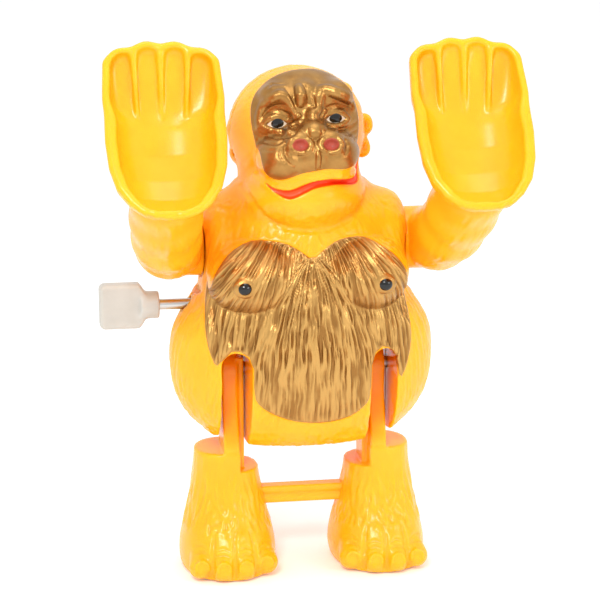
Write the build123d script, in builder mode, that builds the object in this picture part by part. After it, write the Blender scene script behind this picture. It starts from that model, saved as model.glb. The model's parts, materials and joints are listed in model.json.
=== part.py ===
"""Wind-up gorilla that crouches and kicks itself over: a hollow two-shell body with moulded head,
two swivelling arms with scoop hands, and a leg frame kicked by a spring motor inside the belly.

The frame: +Z up, the face looks along -Y, the winding knob sticks out along -X.
The origin is on the ground under the middle of the bounding box. Units are millimetres."""

import os
from math import atan2, cos, degrees, hypot, pi, radians, sin

from build123d import *

# ---------------------------------------------------------------- driving dimensions
BODY_Y = 9.4  # the shells meet in this plane, which also holds the shaft, hip and shoulder axes
WALL = 1.7  # moulded wall of the shells
CLEAR = 0.3  # gap between pieces that move past each other

SHOULDER_Z = 62.0
WINDER_Z = 50.7
HIP_Z = 38.0

SLOT_IN, SLOT_OUT = 11.0, 16.3  # the leg slots, measured from the middle of the body
SLOT_TOP = 43.9
SLOT_WALL = 1.2
STRUT_IN, STRUT_OUT = 12.5, 15.4
STRUT_DEPTH = 7.0
HIP_EYE_R = 3.6

HEAD_Z = 82.0
HEAD_ROLL = 4.0  # the head is cocked, its crown toward -X
HEAD_YAW = 3.0  # and turned a little toward +X

SHOULDER_FACE = 18.5  # flat of the shell that an arm turns against
ARM_ROOT_R = 5.5
PEG_R, PEG_HEAD_R = 2.2, 3.4

PLATE_IN, PLATE_OUT = 8.3, 9.5  # motor plates
PLATE_SIZE = (19.2, 25.0)
PLATE_AT = (BODY_Y - 0.4, 47.0)

GEAR_MODULE = 0.5
MAIN_TEETH, CAM_PINION_TEETH, CAM_WHEEL_TEETH, GOVERNOR_TEETH = 24, 10, 20, 8

SHAFT_R = 1.0
HIP_AXLE_R = 1.1
THIN_AXLE_R = 0.8
RUNNING = 0.05  # radial clearance of an axle in its bearing

# Axes in the side plane, as (y, z)
WINDER = (BODY_Y, WINDER_Z)
HIP = (BODY_Y, HIP_Z)
SHOULDER = (BODY_Y, SHOULDER_Z)
CAM = (BODY_Y + 5.7, 44.4)
GOVERNOR = (BODY_Y + 7.5, 37.65)

# Height, half width, reach to the front and reach to the back of the torso
TORSO = [
    (24.2, 12.5, 6.0, 6.0),
    (25.6, 17.0, 9.5, 9.0),
    (28.5, 20.6, 12.3, 11.5),
    (33.0, 23.6, 14.3, 13.2),
    (39.0, 24.8, 15.2, 14.0),
    (45.0, 24.5, 15.5, 14.2),
    (51.0, 22.0, 15.2, 13.8),
    (57.0, 19.4, 14.6, 13.2),
    (63.0, 18.9, 13.0, 12.4),
    (68.0, 17.8, 10.8, 11.0),
    (72.0, 13.5, 8.0, 9.0),
]

# Height, place fore and aft, half width and half depth of skull and jaw
HEAD = [
    (64.5, -2.0, 8.5, 6.0),
    (67.5, -3.9, 10.0, 9.2),
    (71.0, -3.4, 10.8, 11.0),
    (75.0, -1.5, 11.6, 11.6),
    (79.0, 0.3, 12.2, 12.1),
    (83.0, 0.9, 12.3, 12.2),
    (87.0, 0.7, 11.4, 11.6),
    (90.5, 0.9, 9.2, 9.6),
    (92.8, 1.4, 6.2, 6.5),
    (94.1, 1.6, 2.4, 2.6),
]


# ---------------------------------------------------------------- helpers
def bar(x_from, x_to, radius, at, mode=Mode.ADD):
    """A round bar along X between two stations, at (y, z)."""
    with BuildSketch(Plane.YZ.offset(x_from)) as face:
        with Locations(at):
            Circle(radius)
    extrude(face.sketch, amount=x_to - x_from, mode=mode)


def bar_y(x, z, y_from, y_to, radius, mode=Mode.ADD):
    """A round bar along Y, whose stations are measured from the body's middle plane."""
    with BuildSketch(Plane.XZ.offset(-(BODY_Y + y_from))) as face:
        with Locations((x, z)):
            Circle(radius)
    extrude(face.sketch, amount=y_from - y_to, mode=mode)


def block(low, high, mode=Mode.ADD):
    """A box between two corners; y is measured from the body's middle plane."""
    size = [b - a for a, b in zip(low, high)]
    middle = [(a + b) / 2 for a, b in zip(low, high)]
    with Locations((middle[0], BODY_Y + middle[1], middle[2])):
        Box(*size, mode=mode)


def egg(center, across, round_r, mode=Mode.ADD):
    """An ellipsoid that is round about X: half length across and radius round_r."""
    middle = Plane(origin=(center[0], BODY_Y + center[1], center[2]))
    with BuildSketch(middle) as half:
        with BuildLine():
            EllipticalCenterArc((0, 0), across, round_r, start_angle=0, arc_size=180)
            Line((-across, 0), (across, 0))
        make_face()
    revolve(half.sketch, axis=Axis(middle.origin, (1, 0, 0)), mode=mode)


def cocked(x, y, z):
    """A point of the head, given from the middle of the skull before the head is cocked."""
    roll, yaw = radians(HEAD_ROLL), radians(HEAD_YAW)
    return (x * cos(roll) - z * sin(roll) - y * sin(yaw), y + x * sin(yaw), HEAD_Z + z * cos(roll) + x * sin(roll))


def gear(teeth, x_from, x_to, at, first_tooth):
    """A spur gear along X with straight-flanked teeth; first_tooth is the angle of a tooth from +Y."""
    pitch_r = GEAR_MODULE * teeth / 2
    root_r = pitch_r - 1.2 * GEAR_MODULE
    tip_r = pitch_r + 0.95 * GEAR_MODULE
    pitch = pi * GEAR_MODULE
    flank = [(root_r - 0.1, 0.33 * pitch), (pitch_r, 0.2 * pitch), (tip_r, 0.1 * pitch)]
    outline = flank + [(r, -half) for r, half in reversed(flank)]
    with BuildSketch(Plane.YZ.offset(x_from)) as face:
        with Locations(Location((at[0], at[1], 0), (0, 0, first_tooth))):
            Circle(root_r)
            with PolarLocations(0, teeth):
                Polygon(*outline, align=None)
    extrude(face.sketch, amount=x_to - x_from)


def direction(start, end):
    """The angle from +Y, in degrees, of the line between two (y, z) points."""
    return degrees(atan2(end[1] - start[1], end[0] - start[0]))


# ---------------------------------------------------------------- body
SCREW_POSTS = [(-20.3, 36.0, 4.2), (20.3, 36.0, 4.2), (0.0, 66.5, 7.5)]  # x, z, seat of the head
POST_R = 2.9
SCREW_R, SCREW_HEAD_R, SCREW_HEAD_H, SCREW_LENGTH = 0.9, 1.8, 1.1, 9.0


def torso_loft(inset):
    """The torso as one loft of ellipses, inset all round."""
    sections = Sketch()
    for z, half, front, back in TORSO:
        height = max(TORSO[0][0] + inset, min(z, TORSO[-1][0] - inset))
        with BuildSketch(Plane.XY.offset(height)) as ring:
            with Locations((0, BODY_Y + (back - front) / 2)):
                Ellipse(half - inset, (front + back) / 2 - inset)
        sections += ring.sketch
    loft(sections.faces())


def head_loft(inset):
    """Skull and jaw as one loft of ellipses, drawn in toward the middle of the skull by the inset."""
    sections = Sketch()
    for z, y, half, deep in HEAD:
        shrink = 1 - inset / (HEAD[-1][0] - HEAD_Z)
        x_mid, y_mid, z_mid = cocked(0, y, (z - HEAD_Z) * shrink)
        with BuildSketch(Plane.XY.offset(z_mid)) as ring:
            with Locations((x_mid, BODY_Y + y_mid)):
                Ellipse(half - inset, deep - inset)
        sections += ring.sketch
    loft(sections.faces())


with BuildPart() as body_form:
    torso_loft(0)
    head_loft(0)
    egg(cocked(0, -7.6, -4.6), 8.8, 7.8)  # muzzle
    for side in (-1, 1):
        egg((side * 9.8, -8.4, 57.3), 9.0, 7.0)  # chest
        ear_x, ear_y, ear_z = cocked(side * 10.6, 1.6, -0.4)
        with BuildSketch(Plane.YZ.offset(ear_x)) as ear:
            with Locations((BODY_Y + ear_y, ear_z)):
                Ellipse(2.4, 4.4)
        extrude(ear.sketch, amount=side * 3.8)

with BuildPart() as hollow:
    torso_loft(WALL)
    head_loft(WALL)
    for side in (-1, 1):
        inner, outer = sorted((side * (SLOT_IN - SLOT_WALL), side * (SLOT_OUT + SLOT_WALL)))
        block((inner, -20, 20), (outer, 20, SLOT_TOP + SLOT_WALL), Mode.SUBTRACT)
        near, far = sorted((side * (SHOULDER_FACE - 1.5), side * 26))
        bar(near, far, ARM_ROOT_R + 2.2, SHOULDER, Mode.SUBTRACT)
        near, far = sorted((side * 13, side * (SHOULDER_FACE - 1.5)))
        bar(near, far, PEG_HEAD_R + 0.4, SHOULDER)
        near, far = sorted((side * PLATE_IN, side * PLATE_OUT))
        block((near, -20, 44), (far, -10.05, 53), Mode.SUBTRACT)
        block((near, 9.25, 44), (far, 20, 53), Mode.SUBTRACT)
    for x, z, seat in SCREW_POSTS:
        bar_y(x, z, -20, 20, POST_R, Mode.SUBTRACT)

with BuildPart() as shell:
    add(body_form.part)
    add(hollow.part, mode=Mode.SUBTRACT)
    for side in (-1, 1):
        with BuildSketch(Plane.XZ.offset(-(BODY_Y + 25))) as slot:
            with Locations((side * (SLOT_IN + SLOT_OUT) / 2, SLOT_TOP / 2)):
                Rectangle(SLOT_OUT - SLOT_IN, SLOT_TOP)
            fillet(slot.vertices().group_by(Axis.Y)[-1], (SLOT_OUT - SLOT_IN) / 2 - 0.05)
        extrude(slot.sketch, amount=50, mode=Mode.SUBTRACT)
        near, far = sorted((side * SHOULDER_FACE, side * 30))
        bar(near, far, ARM_ROOT_R + 0.7, SHOULDER, Mode.SUBTRACT)
        near, far = sorted((side * 15, side * 20))
        bar(near, far, PEG_R + 0.1, SHOULDER, Mode.SUBTRACT)
        near, far = sorted((side * 9, side * (SLOT_OUT + SLOT_WALL + 0.2)))
        bar(near, far, HIP_AXLE_R + RUNNING, HIP, Mode.SUBTRACT)
    bar(-30, -9, SHAFT_R + 0.4, WINDER, Mode.SUBTRACT)
    for x, z, seat in SCREW_POSTS:
        bar_y(x, z, seat - SCREW_LENGTH, seat, SCREW_R, Mode.SUBTRACT)
        bar_y(x, z, seat, 25, SCREW_HEAD_R + 0.2, Mode.SUBTRACT)

MIDDLE = Plane.XZ.offset(-BODY_Y)  # its normal points to the front

with BuildPart() as front_shell:
    add(shell.part)
    split(bisect_by=MIDDLE, keep=Keep.TOP)
front_shell.part.label = "front_shell"

with BuildPart() as rear_shell:
    add(shell.part)
    split(bisect_by=MIDDLE, keep=Keep.BOTTOM)
rear_shell.part.label = "rear_shell"

with BuildPart() as body_screws:
    for x, z, seat in SCREW_POSTS:
        bar_y(x, z, seat - SCREW_LENGTH + 1, seat, SCREW_R)
        bar_y(x, z, seat, seat + SCREW_HEAD_H, SCREW_HEAD_R)
    for x, z, seat in SCREW_POSTS:
        block((x - 1.3, seat + 0.6, z - 0.2), (x + 1.3, seat + 2, z + 0.2), Mode.SUBTRACT)
        block((x - 0.2, seat + 0.6, z - 1.3), (x + 0.2, seat + 2, z + 1.3), Mode.SUBTRACT)
body_screws.part.label = "body_screws"


# ---------------------------------------------------------------- arms
HAND_TILT = 35.0  # how far the hand leans back from upright
HAND_AT = (26.8, -23.5, 87.2)  # middle of the palm's rim
HAND_WALL = 1.5
# Station along the hand from heel to fingers, half width and depth of the scoop
SCOOP = [
    (-16.4, 3.2, 2.2),
    (-14.2, 6.6, 5.4),
    (-10.5, 9.0, 7.8),
    (-5.0, 10.3, 8.6),
    (1.5, 10.3, 8.0),
    (8.0, 9.7, 6.4),
    (12.8, 9.1, 4.8),
]
FINGERS = [(-6.75, 13.2), (-2.3, 14.6), (2.3, 14.6), (6.75, 13.2)]  # place across, end of the finger
FINGER_R = 2.45
# Centre, radius and direction of the rings along the right arm, from shoulder to wrist
ARM = [
    ((SHOULDER_FACE + CLEAR, 0, 62.0), ARM_ROOT_R, (1, 0, 0)),
    ((23.3, -2.0, 62.0), 5.5, (0.9, -0.45, 0)),
    ((27.0, -8.5, 63.5), 6.2, (0.45, -0.85, 0.3)),
    ((27.8, -17.5, 67.4), 6.8, (0.05, -0.85, 0.5)),
    ((27.3, -23.6, 72.0), 6.6, (0, -0.7, 0.7)),
    ((27.0, -26.4, 76.0), 5.2, (0, -0.45, 0.9)),
]

tilt = radians(HAND_TILT)
HAND = Plane(
    origin=(HAND_AT[0], BODY_Y + HAND_AT[1], HAND_AT[2]),
    x_dir=(1, 0, 0),
    z_dir=(0, -cos(tilt), sin(tilt)),
)


def scoop_loft(inset, mode=Mode.ADD):
    """The scoop below the palm's rim, as a loft of half ellipses along the hand."""
    sections = Sketch()
    for station, half, depth in SCOOP:
        shift = inset if station < 0 else -inset / 3
        origin = HAND.from_local_coords(Vector(0, station + shift, 0))
        cut = Plane(origin=origin, x_dir=HAND.x_dir, z_dir=-HAND.y_dir)
        with BuildSketch(cut) as ring:
            with BuildLine():
                EllipticalCenterArc((0, 0), half - inset, depth - inset, start_angle=180, arc_size=180)
                Line((-half + inset, 0), (half - inset, 0))
            make_face()
        sections += ring.sketch
    loft(sections.faces(), mode=mode)


def finger(across, end, radius, depth, start, mode=Mode.ADD):
    """A round-ended finger along the hand, whose axis lies depth below the palm's rim."""
    low = HAND.from_local_coords(Vector(across, start, -depth))
    high = HAND.from_local_coords(Vector(across, end, -depth))
    along = Plane(origin=low, x_dir=HAND.x_dir, z_dir=HAND.y_dir)
    with BuildSketch(along) as ring:
        Circle(radius)
    extrude(ring.sketch, amount=end - start, mode=mode)
    with Locations(high):
        Sphere(radius, mode=mode)


with BuildPart() as right_arm:
    rings = Sketch()
    for center, radius, heading in ARM:
        ahead = Vector(*heading).normalized()
        upward = (Vector(0, 0, 1) - ahead * ahead.Z).normalized()
        origin = (center[0], BODY_Y + center[1], center[2])
        with BuildSketch(Plane(origin=origin, x_dir=upward, z_dir=ahead)) as ring:
            Circle(radius)
        rings += ring.sketch
    loft(rings.faces())
    scoop_loft(0)
    for across, end in FINGERS:
        finger(across, end - 0.2, FINGER_R, FINGER_R, 2.0)
    scoop_loft(HAND_WALL, Mode.SUBTRACT)
    for across, end in FINGERS:
        finger(across, end - 0.2, FINGER_R - 0.9, FINGER_R - 1.2, -4.0, Mode.SUBTRACT)
    bar(SHOULDER_FACE, SHOULDER_FACE + 3.8, PEG_R, SHOULDER, Mode.SUBTRACT)
right_arm.part.label = "right_arm"

with BuildPart() as left_arm:
    add(mirror(right_arm.part, about=Plane.YZ))
left_arm.part.label = "left_arm"

with BuildPart() as right_shoulder_peg:
    bar(SHOULDER_FACE - 1.5 - 1.4, SHOULDER_FACE - 1.5 - 0.2, PEG_HEAD_R, SHOULDER)
    bar(SHOULDER_FACE - 1.5 - 0.2, SHOULDER_FACE + 3.6, PEG_R, SHOULDER)
    chamfer(right_shoulder_peg.faces().sort_by(Axis.X)[-1].edges(), 0.4)
right_shoulder_peg.part.label = "right_shoulder_peg"

with BuildPart() as left_shoulder_peg:
    add(mirror(right_shoulder_peg.part, about=Plane.YZ))
left_shoulder_peg.part.label = "left_shoulder_peg"


# ---------------------------------------------------------------- legs
ANKLE_TOP, STEP_TOP = 22.9, 19.2
FOOT_X = 15.0
FOOT_WALL = 1.8
# Height, half width, reach to the front and to the back of the foot, measured at FOOT_X
FOOT = [
    (0.0, 8.6, 12.6, 6.6),
    (2.6, 9.6, 13.9, 7.4),
    (6.0, 9.3, 13.2, 7.4),
    (10.5, 8.0, 9.8, 7.0),
    (15.5, 7.0, 7.4, 6.5),
    (ANKLE_TOP, 6.5, 6.2, 6.2),
]
TOES = [(-6.6, 11.4), (-2.3, 13.6), (2.3, 13.9), (6.6, 12.2)]  # place across, reach to the front
TOE_R = 2.4
BAR_Z, BAR_TALL, BAR_DEEP = 13.0, 3.4, 3.2


def foot_loft(inset, mode=Mode.ADD):
    """Foot and ankle as one loft of rounded outlines."""
    sections = Sketch()
    for z, half, front, back in FOOT:
        height = z - 1 if inset and z == 0 else z - (2 * inset if inset and z == ANKLE_TOP else 0)
        with BuildSketch(Plane.XY.offset(height)) as ring:
            with Locations((FOOT_X, BODY_Y + (back - front) / 2)):
                Ellipse(half - inset, (front + back) / 2 - inset)
        sections += ring.sketch
    loft(sections.faces(), mode=mode)


with BuildPart() as right_leg:
    foot_loft(0)
    for across, reach in TOES:
        bar_y(FOOT_X + across, TOE_R + 0.15, -reach, -6.0, TOE_R)
    block((0, -10, STEP_TOP), (STRUT_IN, 10, 30), Mode.SUBTRACT)
    foot_loft(FOOT_WALL, Mode.SUBTRACT)
    block((STRUT_IN, -STRUT_DEPTH / 2, STEP_TOP - 2.5), (STRUT_OUT, STRUT_DEPTH / 2, HIP_Z))
    bar(STRUT_IN, STRUT_OUT, HIP_EYE_R, HIP)
    bar(STRUT_IN, STRUT_OUT, HIP_AXLE_R, HIP, Mode.SUBTRACT)
    block((5, -BAR_DEEP / 2, BAR_Z - BAR_TALL / 2), (9.0, BAR_DEEP / 2, BAR_Z + BAR_TALL / 2), Mode.SUBTRACT)
right_leg.part.label = "right_leg"

with BuildPart() as left_leg:
    add(mirror(right_leg.part, about=Plane.YZ))
left_leg.part.label = "left_leg"

with BuildPart() as ankle_bar:
    with BuildSketch(Plane.YZ.offset(-9.0)) as profile:
        with Locations((BODY_Y, BAR_Z)):
            Rectangle(BAR_DEEP, BAR_TALL)
        for groove_side in (-1, 1):
            with Locations((BODY_Y + groove_side * BAR_DEEP / 2, BAR_Z)):
                Rectangle(1.0, 0.9, mode=Mode.SUBTRACT)
    extrude(profile.sketch, amount=18.0)
ankle_bar.part.label = "ankle_bar"

with BuildPart() as hip_axle:
    bar(-SLOT_OUT - 0.9, SLOT_OUT + 0.9, HIP_AXLE_R, HIP)
hip_axle.part.label = "hip_axle"

LEVER_FROM, LEVER_TO = 0.6, 3.0
LEVER_ANGLE, LEVER_LENGTH, LEVER_WIDTH = 68.0, 6.0, 1.8  # from +Y, at rest just clear of the cam lobe

with BuildPart() as kick_lever:
    with BuildSketch(Plane.YZ.offset(LEVER_FROM)) as lever_face:
        with Locations(Location((HIP[0], HIP[1], 0), (0, 0, LEVER_ANGLE))):
            Circle(2.4)
            with Locations((LEVER_LENGTH / 2, 0)):
                SlotCenterToCenter(LEVER_LENGTH, LEVER_WIDTH)
            Circle(HIP_AXLE_R, mode=Mode.SUBTRACT)
    extrude(lever_face.sketch, amount=LEVER_TO - LEVER_FROM)
kick_lever.part.label = "kick_lever"

# ---------------------------------------------------------------- motor
PILLARS = [(BODY_Y - 7.9, 57.0), (BODY_Y - 7.9, 37.2), (BODY_Y + 6.8, 57.2)]
PILLAR_R, MOTOR_SCREW_R = 1.4, 0.7


def motor_plate(x_from):
    """A plate of the motor frame with its bearing holes, from x_from outward by the plate's thickness."""
    with BuildSketch(Plane.YZ.offset(x_from)) as face:
        with Locations(PLATE_AT):
            RectangleRounded(*PLATE_SIZE, 3.0)
        for at, hole_r in ((WINDER, SHAFT_R), (HIP, HIP_AXLE_R), (CAM, THIN_AXLE_R), (GOVERNOR, THIN_AXLE_R)):
            with Locations(at):
                Circle(hole_r + RUNNING, mode=Mode.SUBTRACT)
    extrude(face.sketch, amount=PLATE_OUT - PLATE_IN)


with BuildPart() as motor_frame:
    motor_plate(-PLATE_OUT)
    for at in PILLARS:
        bar(-PLATE_IN, PLATE_IN, PILLAR_R, at)
        bar(2.0, PLATE_IN, MOTOR_SCREW_R, at, Mode.SUBTRACT)
motor_frame.part.label = "motor_frame"

with BuildPart() as motor_cover:
    motor_plate(PLATE_IN)
    for at in PILLARS:
        bar(PLATE_IN, PLATE_OUT, MOTOR_SCREW_R + 0.1, at, Mode.SUBTRACT)
        bar(PLATE_OUT - 0.7, PLATE_OUT, 1.3, at, Mode.SUBTRACT)
motor_cover.part.label = "motor_cover"

with BuildPart() as motor_screws:
    for at in PILLARS:
        bar(2.6, PLATE_OUT - 0.7, MOTOR_SCREW_R, at)
        bar(PLATE_OUT - 0.7, PLATE_OUT - 0.05, 1.2, at)
motor_screws.part.label = "motor_screws"

SPRING_FROM, SPRING_TO = -7.4, -1.6
SPRING_TURNS, SPRING_INNER, SPRING_OUTER, STRIP = 5, 1.7, 7.0, 0.35

with BuildPart() as mainspring:
    with BuildSketch(Plane.YZ.offset(SPRING_FROM)) as coil:
        steps = 12 * SPRING_TURNS
        growth = (SPRING_OUTER - SPRING_INNER) / steps
        spiral = [
            (
                WINDER[0] + (SPRING_INNER + growth * i) * cos(pi / 6 * i),
                WINDER[1] + (SPRING_INNER + growth * i) * sin(pi / 6 * i),
            )
            for i in range(steps + 1)
        ]
        with BuildLine() as strip_line:
            Spline(*spiral)
        trace(line_width=STRIP)
    extrude(coil.sketch, amount=SPRING_TO - SPRING_FROM)
mainspring.part.label = "mainspring"

with BuildPart() as spring_arbor:
    bar(-8.0, -1.0, SPRING_INNER - STRIP, WINDER)
    bar(-8.0, -1.0, SHAFT_R, WINDER, Mode.SUBTRACT)
spring_arbor.part.label = "spring_arbor"

with BuildPart() as winding_shaft:
    bar(-31.5, PLATE_OUT, SHAFT_R, WINDER)
winding_shaft.part.label = "winding_shaft"

KNOB_OUT, KNOB_SHOULDER, KNOB_COLLAR, KNOB_IN = -37.8, -30.2, -29.0, -26.6
KNOB_TALL, KNOB_THICK, COLLAR_R = 8.4, 3.2, 2.5

with BuildPart() as winding_knob:
    with BuildSketch(Plane.XZ.offset(-BODY_Y - KNOB_THICK / 2)) as paddle:
        with BuildLine():
            Polyline(
                (KNOB_OUT, WINDER_Z - KNOB_TALL / 2),
                (KNOB_SHOULDER, WINDER_Z - KNOB_TALL / 2),
                (KNOB_COLLAR, WINDER_Z - COLLAR_R),
                (KNOB_COLLAR, WINDER_Z + COLLAR_R),
                (KNOB_SHOULDER, WINDER_Z + KNOB_TALL / 2),
                (KNOB_OUT, WINDER_Z + KNOB_TALL / 2),
                close=True,
            )
        make_face()
        fillet(paddle.vertices().group_by(Axis.X)[0], 1.1)
    extrude(paddle.sketch, amount=KNOB_THICK)
    fillet(winding_knob.faces().filter_by(Axis.Y).edges(), 0.5)
    bar(KNOB_COLLAR, KNOB_IN, COLLAR_R, WINDER)
    bar(-31.5, KNOB_IN, SHAFT_R, WINDER, Mode.SUBTRACT)
    fillet(winding_knob.edges().filter_by(GeomType.CIRCLE).group_by(Axis.X)[-1].sort_by(SortBy.RADIUS)[-1], 0.4)
winding_knob.part.label = "winding_knob"

MAIN_FROM, MAIN_TO = 4.8, 6.2
to_cam = direction(WINDER, CAM)
to_governor = direction(CAM, GOVERNOR)

with BuildPart() as main_gear:
    gear(MAIN_TEETH, MAIN_FROM, MAIN_TO, WINDER, to_cam)
    bar(3.9, MAIN_FROM, 2.6, WINDER)
    bar(3.8, MAIN_TO, SHAFT_R, WINDER, Mode.SUBTRACT)
main_gear.part.label = "main_gear"

with BuildPart() as ratchet_disc:
    with BuildSketch(Plane.YZ.offset(2.4)) as ratchet_face:
        with Locations(Location((WINDER[0], WINDER[1], 0))):
            Circle(3.0)
            with PolarLocations(0, 10):
                Polygon((2.9, -0.55), (3.9, 0.55), (2.9, 0.55), align=None)
            Circle(SHAFT_R, mode=Mode.SUBTRACT)
    extrude(ratchet_face.sketch, amount=1.2)
ratchet_disc.part.label = "ratchet_disc"

with BuildPart() as cam_shaft:
    bar(-PLATE_OUT, PLATE_OUT, THIN_AXLE_R, CAM)
cam_shaft.part.label = "cam_shaft"

with BuildPart() as cam_pinion:
    gear(CAM_PINION_TEETH, MAIN_FROM - 0.2, MAIN_TO + 0.3, CAM, to_cam + 180 + 180 / CAM_PINION_TEETH)
    bar(MAIN_FROM - 0.2, MAIN_TO + 0.3, THIN_AXLE_R, CAM, Mode.SUBTRACT)
cam_pinion.part.label = "cam_pinion"

with BuildPart() as cam_wheel:
    gear(CAM_WHEEL_TEETH, 6.6, 7.6, CAM, to_governor)
    bar(6.6, 7.6, THIN_AXLE_R, CAM, Mode.SUBTRACT)
cam_wheel.part.label = "cam_wheel"

CAM_BASE_R, LOBE_AT, LOBE_R, LOBE_ANGLE = 1.35, 1.8, 0.68, -56.6

with BuildPart() as kick_cam:
    with BuildSketch(Plane.YZ.offset(LEVER_FROM + 0.2)) as cam_face:
        with Locations(Location((CAM[0], CAM[1], 0), (0, 0, LOBE_ANGLE))):
            Circle(CAM_BASE_R)
            with Locations((LOBE_AT, 0)):
                Circle(LOBE_R)
        make_hull()
        with Locations(CAM):
            Circle(THIN_AXLE_R, mode=Mode.SUBTRACT)
    extrude(cam_face.sketch, amount=LEVER_TO - LEVER_FROM - 0.4)
kick_cam.part.label = "kick_cam"

with BuildPart() as governor_axle:
    bar(-PLATE_OUT, PLATE_OUT, THIN_AXLE_R, GOVERNOR)
governor_axle.part.label = "governor_axle"

with BuildPart() as governor_pinion:
    gear(GOVERNOR_TEETH, 6.5, 7.7, GOVERNOR, to_governor + 180 + 180 / GOVERNOR_TEETH)
    bar(6.5, 7.7, THIN_AXLE_R, GOVERNOR, Mode.SUBTRACT)
governor_pinion.part.label = "governor_pinion"

with BuildPart() as flywheel:
    bar(-6.8, -2.6, 3.5, GOVERNOR)
    bar(-6.8, -2.6, THIN_AXLE_R, GOVERNOR, Mode.SUBTRACT)
flywheel.part.label = "flywheel"

COIL_R, WIRE_R, COIL_PITCH, COIL_TURNS = 2.2, 0.25, 0.75, 5

with BuildPart() as kick_spring:
    with BuildLine() as coil_path:
        turns = Helix(COIL_PITCH, COIL_PITCH * COIL_TURNS, COIL_R, (-6.0, HIP[0], HIP[1]), (1, 0, 0))
    with BuildSketch(Plane(origin=turns @ 0, z_dir=turns % 0)) as wire:
        Circle(WIRE_R)
    sweep(wire.sketch, path=turns, is_frenet=True)
kick_spring.part.label = "kick_spring"

# ---------------------------------------------------------------- output
os.makedirs("parts", exist_ok=True)
export_step(front_shell.part, "parts/front_shell.step")
export_step(rear_shell.part, "parts/rear_shell.step")
export_step(body_screws.part, "parts/body_screws.step")
export_step(right_arm.part, "parts/right_arm.step")
export_step(left_arm.part, "parts/left_arm.step")
export_step(right_shoulder_peg.part, "parts/right_shoulder_peg.step")
export_step(left_shoulder_peg.part, "parts/left_shoulder_peg.step")
export_step(right_leg.part, "parts/right_leg.step")
export_step(left_leg.part, "parts/left_leg.step")
export_step(ankle_bar.part, "parts/ankle_bar.step")
export_step(hip_axle.part, "parts/hip_axle.step")
export_step(kick_lever.part, "parts/kick_lever.step")
export_step(motor_frame.part, "parts/motor_frame.step")
export_step(motor_cover.part, "parts/motor_cover.step")
export_step(motor_screws.part, "parts/motor_screws.step")
export_step(mainspring.part, "parts/mainspring.step")
export_step(spring_arbor.part, "parts/spring_arbor.step")
export_step(winding_shaft.part, "parts/winding_shaft.step")
export_step(winding_knob.part, "parts/winding_knob.step")
export_step(main_gear.part, "parts/main_gear.step")
export_step(ratchet_disc.part, "parts/ratchet_disc.step")
export_step(cam_shaft.part, "parts/cam_shaft.step")
export_step(cam_pinion.part, "parts/cam_pinion.step")
export_step(cam_wheel.part, "parts/cam_wheel.step")
export_step(kick_cam.part, "parts/kick_cam.step")
export_step(governor_axle.part, "parts/governor_axle.step")
export_step(governor_pinion.part, "parts/governor_pinion.step")
export_step(flywheel.part, "parts/flywheel.step")
export_step(kick_spring.part, "parts/kick_spring.step")
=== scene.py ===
import json
import math

import bmesh
import bpy
import numpy as np
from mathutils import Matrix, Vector


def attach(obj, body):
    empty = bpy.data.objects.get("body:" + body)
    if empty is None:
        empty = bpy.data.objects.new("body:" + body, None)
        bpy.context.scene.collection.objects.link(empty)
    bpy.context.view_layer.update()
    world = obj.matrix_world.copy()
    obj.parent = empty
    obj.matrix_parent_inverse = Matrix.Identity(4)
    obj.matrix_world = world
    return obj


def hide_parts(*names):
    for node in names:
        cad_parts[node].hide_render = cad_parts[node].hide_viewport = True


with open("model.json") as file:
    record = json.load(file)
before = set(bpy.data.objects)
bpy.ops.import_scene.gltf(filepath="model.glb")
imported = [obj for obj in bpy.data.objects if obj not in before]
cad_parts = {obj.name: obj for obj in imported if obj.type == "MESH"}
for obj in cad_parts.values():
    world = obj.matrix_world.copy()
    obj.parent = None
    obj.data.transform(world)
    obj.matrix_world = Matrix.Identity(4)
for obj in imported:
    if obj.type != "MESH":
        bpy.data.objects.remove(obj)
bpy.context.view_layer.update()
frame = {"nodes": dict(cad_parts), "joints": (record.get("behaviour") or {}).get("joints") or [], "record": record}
NODES = frame["nodes"]

# All sculpting is in millimetres, with y measured from the plane where the two shells meet
HIP = next(j for j in frame["joints"] if j["name"] == "hip_swing")["pos_m"]
MID_Y = HIP[1] * 1000
HIP_Z = HIP[2] * 1000
SHOULDER_Z = 62.0
SHAFT_Z = 50.7


# --- distance fields
def smin(a, b, k):
    if k <= 0:
        return np.minimum(a, b)
    h = np.clip(0.5 + 0.5 * (b - a) / k, 0, 1)
    return b + (a - b) * h - k * h * (1 - h)


def smax(a, b, k):
    return -smin(-a, -b, k)


def smooth(a, b, x):
    t = np.clip((x - a) / (b - a), 0, 1)
    return t * t * (3 - 2 * t)


def turn(x=0, y=0, z=0):
    """Rotation matrix from degrees about X, then Y, then Z."""
    a, b, c = (math.radians(v) for v in (x, y, z))
    rx = np.array([[1, 0, 0], [0, math.cos(a), -math.sin(a)], [0, math.sin(a), math.cos(a)]])
    ry = np.array([[math.cos(b), 0, math.sin(b)], [0, 1, 0], [-math.sin(b), 0, math.cos(b)]])
    rz = np.array([[math.cos(c), -math.sin(c), 0], [math.sin(c), math.cos(c), 0], [0, 0, 1]])
    return rz @ ry @ rx


def hermite(t, a, b, slope_a, slope_b):
    """Cubic from a to b with these slopes, at t from 0 to 1."""
    return ((2 * t**3 - 3 * t**2 + 1) * a + (t**3 - 2 * t**2 + t) * slope_a
            + (3 * t**2 - 2 * t**3) * b + (t**3 - t**2) * slope_b)


def curve(u, values):
    """Catmull-Rom curve through the values at whole numbers of u."""
    values = np.asarray(values, float)
    slopes = np.gradient(values)
    i = np.clip(np.floor(u).astype(int), 0, len(values) - 2)
    return hermite(u - i, values[i], values[i + 1], slopes[i], slopes[i + 1])


def between(v, low, high):
    """Distance out of the slab from low to high, negative inside."""
    return np.maximum(low - v, v - high)


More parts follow.
